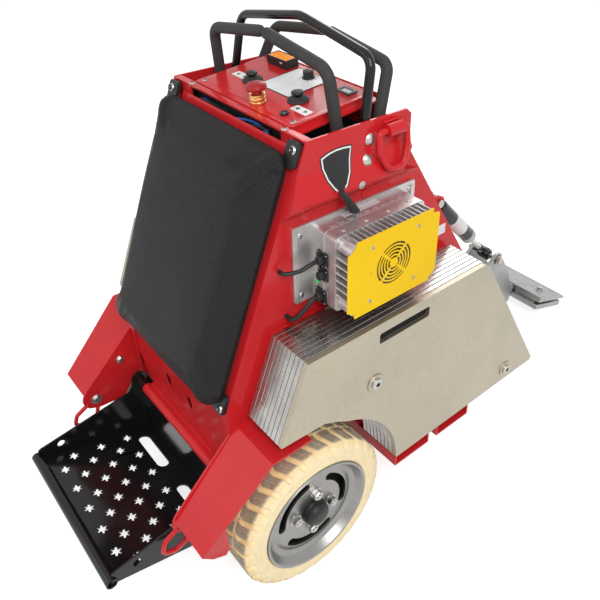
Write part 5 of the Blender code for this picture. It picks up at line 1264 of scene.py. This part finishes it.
class STRIPPER_OT_wheels(bpy.types.Operator):
    """Pale block-tread tyres on cast rims with slots, nuts and domed hub caps."""

    bl_idname = "stripper.wheels"
    bl_label = "Wheels"

    def execute(self, context):
        s = sizes()
        for side, tag in SIDES:
            matrix = wheel_matrix(side)
            Form().grid(placed(tyre_points(s.lug_count, s.lug_depth), matrix)).cover(
                "tyre_" + tag, "tyre", "tyre_rubber", sharp=50, weld=0.000001)
            disc, width = -0.016, 0.103
            profile = rolled([(0.01, disc - 0.002), (0.09, disc - 0.002), (0.094, disc - 0.003),
                              (0.101, -0.0215), (0.111, -0.0165), (0.118, -0.005), (0.1215, 0.001),
                              (0.126, 0.0018), (0.127, -0.001), (0.127, -width), (0.113, -width + 0.006),
                              (0.113, -0.036), (0.098, -0.03), (0.088, disc - 0.008),
                              (0.01, disc - 0.008), (0.01, disc - 0.002)],
                             (0.002, 0.004, 0.006, 0.01, 0.004, 0.0012, 0.0008, 0.0004, 0.004, 0.004, 0.004,
                              0.004, 0.0006, 0.0005), 4)
            rim = Form().turn(profile, 0, 128, matrix)
            cuts = Form()
            for i in range(3):
                start, stop, inner, outer = i * 120 - 18, i * 120 + 58, 0.0705, 0.088
                mean, half = (inner + outer) / 2, (outer - inner) / 2
                first, last = (arc((0, 0), mean, angle, angle, 0)[0] for angle in (start, stop))
                kidney = np.concatenate([arc((0, 0), outer, start, stop, 24),
                                         arc(last, half, stop + 20, stop + 160, 6),
                                         arc((0, 0), inner, stop, start, 24),
                                         arc(first, half, start + 200, start + 340, 6)])
                cuts.prism(kidney, disc - 0.03, disc + 0.02, "Z", 0, matrix)
            rim.cover("wheel_rim_" + tag, "rim", "cast_alloy", "rim_%s_form" % tag, bevel=0.0012,
                      segments=3, cutters=cuts)
            parts = Form()
            face, nut_circle, first_nut = disc - 0.002, 0.046, -8
            for i in range(4):
                a = math.radians(first_nut + 90 * i)
                spot = matrix @ Matrix.Translation(
                    (nut_circle * math.cos(a), nut_circle * math.sin(a), face))
                hex_bolt(parts, spot.translation, spot.col[2].xyz, 0.0108, 0.011, 0, 0.0128, a)
                stud = spot @ Matrix.Translation((0, 0, 0.0125))
                parts.turn([(0, -0.002), (0.0052, -0.002), (0.0052, 0.002), (0.0044, 0.0028), (0, 0.0028)],
                           0, 20, stud)
            parts.turn(rolled([(0.0, face), (0.029, face), (0.029, disc + 0.0045), (0.0281, disc + 0.006),
                               (0.0277, disc + 0.01), (0.0265, disc + 0.015), (0.022, disc + 0.021),
                               (0.013, disc + 0.0236), (0.0, disc + 0.0242)], 0.0014, 4), 1, 56, matrix)
            # A dark disc of painted shade behind the rim's slots.
            parts.disc(0.1125, disc - 0.04, disc - 0.034, 2, 64, matrix)
            parts.piece("wheel_nuts_" + tag, "wheel_" + tag, "bolt plastic hole", "bright_steel")
        return {"FINISHED"}


# ---------------------------------------------------------------- charger


def cover_outline():
    """The charger cover from the side: a scooped upper corner and stepped corners elsewhere."""
    x0, x1, z0, z1 = 0.083, 0.311, 0.619, 0.78
    cut = 0.018
    return np.concatenate([arc((x0, z1), 0.02, 270, 360, 12),
                           [(x1 - cut, z1), (x1 - cut, z1 - 0.01), (x1 - 0.002, z1 - 0.0135),
                            (x1, z1 - 0.016), (x1, z0 + 0.02), (x1 - 0.007, z0 + 0.014),
                            (x1 - 0.017, z0 + 0.006), (x1 - cut, z0), (x0 + cut, z0),
                            (x0 + cut - 0.003, z0 + 0.012), (x0, z0 + 0.02)]])


class STRIPPER_OT_charger(bpy.types.Operator):
    """The on-board charger: cast housing, finned heat sink, fan behind a slotted yellow cover, leads."""

    bl_idname = "stripper.charger"
    bl_label = "Charger"

    def execute(self, context):
        dressed("charger_fan", "plastic", 0.0004)
        fan, y_out = (0.195, 0.702), -0.312
        holes = []
        for inner, outer in ((0.01, 0.0145), (0.0175, 0.022), (0.025, 0.029), (0.032, 0.036),
                             (0.039, 0.043)):
            for k in range(4):
                wider = 3 * (outer > 0.03)
                start, stop = k * 90 + 52 - wider, k * 90 + 128 + wider
                holes.append(np.concatenate([arc(fan, outer, start, stop, 12),
                                             arc(fan, inner, stop, start, 12)]))
        for offset in (-0.057, 0.057):
            holes.append(ring(0.0016, 12, (fan[0] + offset, fan[1])))
        cover = Form().cut_sheet([cover_outline()] + holes, y_out, y_out + 0.0014, "Y")
        for x, z in ((0.14, 0.756), (0.255, 0.757), (0.249, 0.645), (0.137, 0.643)):
            pan_screw(cover, (x, y_out - 0.0001, z), (0, -1, 0), 0.0042, 0.0018, 1, 2)
        cover.cover("charger_fan_cover", "yellow bolt hole", "yellow_paint", "charger_cover_form")
        self.heat_sink(fan)
        self.housing()
        self.leads()
        return {"FINISHED"}

    def heat_sink(self, fan):
        """Fins as thin rounded slats along the depth, standing on a core with a round bore."""
        x0, x1, z0, z1 = CHARGER
        near, far = -0.3102, -0.2766
        form = Form()
        core = rounded_box(x0 + 0.022, x1 - 0.022, z0 + 0.003, z1 - 0.022, 0.002, 3)
        form.cut_sheet([core, ring(0.047, 64, fan)], near + 0.0002, far, "Y")
        pitch = (x1 - x0 - 0.03) / 16
        for i in range(17):
            left = x0 + 0.013 + i * pitch
            form.prism(rounded_box(left, left + 0.003, z1 - 0.024, z1 - 0.002, 0.001, 3), near, far, "Y")
        rise = (z1 - z0 - 0.046) / 7
        for i in range(8):
            base = z0 + 0.02 + i * rise
            form.prism(rounded_box(x1 - 0.024, x1 - 0.002, base, base + 0.0034, 0.0012, 3), near, far,
                       "Y")
            if 0 < i < 7:
                form.prism(rounded_box(x0 + 0.002, x0 + 0.024, base, base + 0.0036, 0.0016, 4), near, far,
                           "Y")
        # Solid rounded posts where the cover is screwed on.
        for x, z in ((x0 + 0.018, z1 - 0.02), (x0 + 0.018, z0 + 0.017), (x1 - 0.018, z0 + 0.014)):
            form.disc(0.0125, 0, 0.0334, 0, 32, facing((x, far, z), (0, -1, 0)))
        form.cover("charger_fin_block", "cast", "cast_alloy", "charger_fins_form")

    def housing(self):
        """A cast box with a stepped lip, bosses along its top edge, and two mounting flanges."""
        x0, x1, z0, z1 = CHARGER
        wall, flange = -0.2103, -0.2163
        form = Form()
        form.prism(rounded_box(x0, x1, z0, z1, 0.01, 8), -0.2763, wall, "Y")
        form.prism(rounded_box(x0 - 0.0015, x1 + 0.0008, z0 + 0.001, z1 + 0.0004, 0.011, 8), -0.247,
                   -0.242, "Y")
        form.prism(rounded_box(x0 - 0.046, x1 + 0.036, z0 + 0.004, z1 + 0.008, 0.006, 5), flange, wall,
                   "Y")
        for side_x, edge in ((x0 - 0.042, x0 - 0.034), (x1 + 0.022, x1 + 0.032)):
            form.box((side_x, -0.22, z0 + 0.01), (edge - 0.003, -0.216, z1 - 0.002))
        for i in range(4):
            form.turn([(0, 0), (0.0046, 0), (0.0046, 0.0015), (0, 0.0018)], 0, 18,
                      facing((x0 + 0.03 + i * 0.054, -0.262, z1 - 0.0002), (0, 0, 1)))
        for i in range(10):
            x = x0 + 0.018 + i * 0.0205
            form.prism(rounded_box(x, x + 0.012, z1 - 0.006, z1 + 0.0012, 0.001, 2), -0.242, -0.2325, "Y")
        form.box((x0 + 0.06, -0.231, z1 - 0.001), (x0 + 0.15, -0.213, z1 + 0.0006), 4)
        form.box((x0 - 0.0003, -0.2545, 0.64), (x0 + 0.001, -0.226, 0.655), 4)
        for x, z in ((x0 - 0.03, z1 - 0.01), (x0 - 0.03, z0 + 0.02), (x1 + 0.022, z1 - 0.01),
                     (x1 + 0.022, z0 + 0.02)):
            pan_screw(form, (x, flange, z), (0, -1, 0), 0.0062, 0.003, 1, 2)
        for y, z, half in ((0.243, 0.722, 0.015), (0.245, 0.69, 0.013), (0.239, 0.64, 0.015)):
            form.prism(rounded_box(-y - half, -y + half, z - half, z + half, 0.0035, 4), x0 - 0.004,
                       x0 + 0.002, "X", 2)
            spot = facing((x0 - 0.003, -y, z), (-1, 0, 0))
            form.grid(turned([(0.0102, 0), (0.0102, 0.0055), (0.0092, 0.0065)], 6, spot), 2, caps=True)
            form.turn(rolled([(0, 0.004), (0.0088, 0.004), (0.0088, 0.0085), (0.0074, 0.0105),
                              (0.005, 0.0112), (0, 0.0112)], 0.0006, 2), 2, 32, spot)
            inset = half - 0.0032
            for a, b in ((-1, -1), (-1, 1), (1, -1), (1, 1)):
                dome(form, (x0 - 0.0038, -y + a * inset, z + b * inset), (-1, 0, 0), 0.0016, 0.001, 1, 10)
        form.turn([(0, 0), (0.0034, 0), (0.003, 0.0022), (0.0018, 0.003), (0, 0.0033)], 3, 20,
                  facing((x0, -0.226, 0.664), (-1, 0, 0)))
        path = resampled(np.array([(0.18, -0.2238, 0.772), (0.161, -0.2325, 0.798),
                                   (0.141, -0.2409, 0.822), (0.1229, -0.2485, 0.8437)]), 60)
        share = np.linspace(0, 1, 60)
        rings = (np.sin(share * 2 * math.pi * 7) > 0.35) * (share < 0.8)
        taper = (0.009 - 0.0034 * share) * (1 - 0.13 * rings)
        form.tube(path, 1.0, 2, 24, taper)
        form.cover("charger_housing", "cast bolt plastic lamp grey_label", "cast_alloy", bevel=0.001)

    def leads(self):
        """Two short leads, each held at both ends."""
        start = 0.0707
        upper = [(start, -0.243, 0.722), (start - 0.012, -0.243, 0.722), (start - 0.03, -0.2405, 0.715),
                 (start - 0.046, -0.232, 0.711), (start - 0.06, -0.223, 0.71),
                 (start - 0.06, -0.2104, 0.71)]
        lower = [(start, -0.239, 0.64), (start - 0.01, -0.239, 0.64), (start - 0.024, -0.2385, 0.627),
                 (start - 0.04, -0.235, 0.613), (start - 0.048, -0.227, 0.606),
                 (start - 0.048, -0.2104, 0.606)]
        for name, points, bends, radius in (
                ("charger_cable_upper", upper, (0.02, 0.04, 0.02, 0.006), 0.004),
                ("charger_cable_lower", lower, (0.02, 0.03, 0.01, 0.006), 0.0045)):
            path = resampled(softened(points, bends, 8), 60)
            Form().tube(path, radius, 0, 20).cover(name, "plastic", "black_plastic")


# ---------------------------------------------------------------- front tool


class STRIPPER_OT_tool(bpy.types.Operator):
    """Lift arm, hydraulic cylinder and rod, and the jaws that hold a blade."""

    bl_idname = "stripper.tool"
    bl_label = "Front tool"

    def execute(self, context):
        dressed("lift_arm", "satin", 0.0014)
        dressed("blade_clamp_upper", "satin")
        dressed("blade_clamp_lower", "satin")
        base, tip = Vector(CYLINDER_BASE), Vector(ROD_PIN)
        along = (tip - base).normalized()
        reach = (tip - base).length
        frame_rod = Matrix.Translation(base) @ Matrix.Rotation(math.atan2(-along.z, along.x), 4, "Y")
        lying = frame_rod @ Matrix.Rotation(math.radians(90), 4, "Y")
        barrel = Form()
        barrel.cut_sheet([rounded_box(-0.015, 0.04, -0.015, 0.015, 0.0145, 8), ring(0.0086, 24)], -0.0145,
                         0.0145, "Y", 0, frame_rod)
        bore = 0.0082
        barrel.turn(rolled([(bore, 0.2475), (0.0205, 0.2475), (0.0222, 0.245), (0.0222, 0.226),
                            (0.0214, 0.225), (0.0214, 0.2245), (0.0222, 0.2235), (0.0222, 0.042),
                            (0.021, 0.036), (0.017, 0.034), (0.0, 0.034), (0.0, 0.064), (bore, 0.064),
                            (bore, 0.2475)], 0.0006, 3), 0, 56, lying)
        for inner, outer, start, stop, finish in ((0.012, 0.0225, 0.247, 0.2255, 1),
                                                  (0.01, 0.0224, 0.118, 0.186, 2)):
            barrel.turn([(inner, start), (outer, start), (outer, stop), (inner, stop), (inner, start)],
                        finish, 56, lying)
        barrel.cover("cylinder_barrel", "black satin white", "black_paint")
        rod = Form()
        rod.disc(0.0075, reach - 0.024, 0.144, 0, 40, lying)
        rod.cut_sheet([rounded_box(reach - 0.032, reach + 0.016, -0.016, 0.016, 0.0145, 8),
                       ring(0.0106, 28, (reach, 0))], -0.012, 0.012, "Y", 1, frame_rod)
        rod.disc(0.011, reach - 0.052, reach - 0.03, 1, 6, lying)
        rod.cover("cylinder_rod", "steel black", "bright_steel")
        details = Form()
        for side in (1, -1):
            hex_bolt(details, (tip.x, side * 0.0505, tip.z), (0, side, 0), 0.012, 0.006, 0, 0.015)
            details.disc(0.0165, -0.001, 0.002, 0, 32, outward(tip.x, 0.0458, tip.z, side))
        details.piece("arm_bolts", "arm", "bolt", "bright_steel")
        head = Matrix.Translation((1.045, 0, 0.076)) @ Matrix.Rotation(math.radians(19.0), 4, "Y")
        bolts = Form()
        for y in (-0.072, 0.072):
            spot = head @ Matrix.Translation((0.1, y, 0.0206))
            hex_bolt(bolts, spot.translation, spot.col[2].xyz, 0.0108, 0.0068, 0, 0.014)
        bolts.piece("clamp_bolts", "blade_head", "bolt", "bright_steel")
        pins = Form()
        for side in (1, -1):
            pins.turn([(0, -0.001), (0.015, -0.001), (0.015, 0.003), (0.0135, 0.0042), (0, 0.0042)], 0, 32,
                      outward(ARM_PIVOT[0], 0.0618, ARM_PIVOT[2], side))
            pins.turn([(0, -0.001), (0.011, -0.001), (0.011, 0.003), (0, 0.0036)], 0, 28,
                      outward(base.x, 0.0278, base.z, side))
        pins.piece("mount_pins", "machine", "bolt", "bright_steel")
        for node in ("gear_motor_left", "gear_motor_right", "hydraulic_unit"):
            dressed(node, "black", 0.002)
        dressed("battery_pack", "plastic", 0.003)
        return {"FINISHED"}


# ---------------------------------------------------------------- stage


class STRIPPER_OT_stage(bpy.types.Operator):
    """Pale floor, studio lamps, white surroundings and the camera."""

    bl_idname = "stripper.stage"
    bl_label = "Stage"

    def execute(self, context):
        scene = context.scene
        scene.view_settings.view_transform = "Standard"
        look = Look("studio_floor", (0.8, 0.8, 0.8), 0.9)
        seen = self.seen(look)
        plain = look.node("ShaderNodeBsdfDiffuse", {}, {"Color": (0.55, 0.55, 0.55, 1)})
        glow = look.node("ShaderNodeEmission", {}, {"Color": (1, 1, 1, 1), "Strength": 0.72})
        both = look.node("ShaderNodeAddShader", {}, {0: plain, 1: glow})
        dull = look.node("ShaderNodeBsdfDiffuse", {}, {"Color": (0.72, 0.72, 0.72, 1)})
        mixed = look.node("ShaderNodeMixShader", {}, {0: seen, 1: dull, 2: both})
        look.tree.links.new(mixed.out, look.tree.nodes["Material Output"].inputs["Surface"])
        FINISH["floor"] = look.material
        reach, level = 9.0, -0.0005
        corners = [[(x, y, level) for x in (-reach, reach)] for y in (-reach, reach)]
        floor = Form().grid(np.array(corners), 0, wrap_cols=False)
        obj = floor.mesh_object("floor", "floor")
        if obj.data.polygons[0].normal.z < 0:
            obj.data.flip_normals()
        world = bpy.data.worlds.new("studio")
        world.use_nodes = True
        scene.world = world
        air = Look.__new__(Look)
        air.tree = world.node_tree
        seen = self.seen(air)
        white = air.node("ShaderNodeBackground", {}, {"Color": (1, 1, 1, 1), "Strength": 1.0})
        soft = air.node("ShaderNodeBackground", {}, {"Color": (0.98, 0.99, 1, 1), "Strength": 0.52})
        mixed = air.node("ShaderNodeMixShader", {}, {0: seen, 1: soft, 2: white})
        air.tree.links.new(mixed.out, air.tree.nodes["World Output"].inputs["Surface"])
        target = Vector((0.0, 0.0, 0.5))
        for name, place, size, power in (("key", (-1.4, -2.4, 3.2), 1.8, 84.0),
                                         ("fill", (-3.2, 1.0, 2.0), 2.2, 17.0),
                                         ("back", (2.6, 2.2, 2.6), 1.8, 42.0)):
            light = bpy.data.lights.new(name, "AREA")
            light.energy, light.size = power, size
            lamp = bpy.data.objects.new(name, light)
            lamp.location = place
            lamp.rotation_euler = (target - Vector(place)).to_track_quat("-Z", "Y").to_euler()
            scene.collection.objects.link(lamp)
        camera = bpy.data.cameras.new("camera")
        camera.sensor_width, camera.lens = 36.0, 40.91
        camera.shift_x, camera.shift_y = -0.0501, -0.1218
        eye = bpy.data.objects.new("camera", camera)
        eye.location = (-0.97035, -1.0263, 1.3923)
        eye.rotation_euler = [math.radians(a) for a in (59.16, 0.0, -40.02)]
        scene.collection.objects.link(eye)
        scene.camera = eye
        return {"FINISHED"}

    def seen(self, look):
        """1 for a ray from the camera, a reflection or a transmission, 0 for light on things."""
        rays = look.tree.nodes.new("ShaderNodeLightPath").outputs
        direct, glossy, through = (Sock(look, rays[name]) for name in (
            "Is Camera Ray", "Is Glossy Ray", "Is Transmission Ray"))
        return look.maths("MAXIMUM", look.maths("MAXIMUM", direct, glossy), through)


# ---------------------------------------------------------------- add-on


STEPS = (STRIPPER_OT_body, STRIPPER_OT_fasteners, STRIPPER_OT_weights, STRIPPER_OT_step, STRIPPER_OT_pad,
         STRIPPER_OT_controls, STRIPPER_OT_handles, STRIPPER_OT_wheels, STRIPPER_OT_charger,
         STRIPPER_OT_tool, STRIPPER_OT_stage)


class STRIPPER_PT_sidebar(bpy.types.Panel):
    """Lists the settings and the steps."""

    bl_label = "Floor stripper"
    bl_space_type = "VIEW_3D"
    bl_region_type = "UI"
    bl_category = "Floor stripper"

    def draw(self, context):
        for group in (context.scene.stripper_sizes, context.scene.stripper_colours):
            for name in group.bl_rna.properties.keys():
                if name not in ("rna_type", "name"):
                    self.layout.prop(group, name)
        for step in STEPS:
            self.layout.operator(step.bl_idname)


CLASSES = (StripperSizes, StripperColours) + STEPS + (STRIPPER_PT_sidebar,)


def register():
    for cls in CLASSES:
        bpy.utils.register_class(cls)
    bpy.types.Scene.stripper_sizes = bpy.props.PointerProperty(type=StripperSizes)
    bpy.types.Scene.stripper_colours = bpy.props.PointerProperty(type=StripperColours)


def unregister():
    del bpy.types.Scene.stripper_colours
    del bpy.types.Scene.stripper_sizes
    for cls in reversed(CLASSES):
        bpy.utils.unregister_class(cls)


def main():
    register()
    make_finishes(bpy.context.scene.stripper_colours)
    ops = bpy.ops.stripper
    for run in (ops.body, ops.fasteners, ops.weights, ops.step, ops.pad, ops.controls, ops.handles,
                ops.wheels, ops.charger, ops.tool, ops.stage):
        run()


if __name__ == "__main__":
    main()
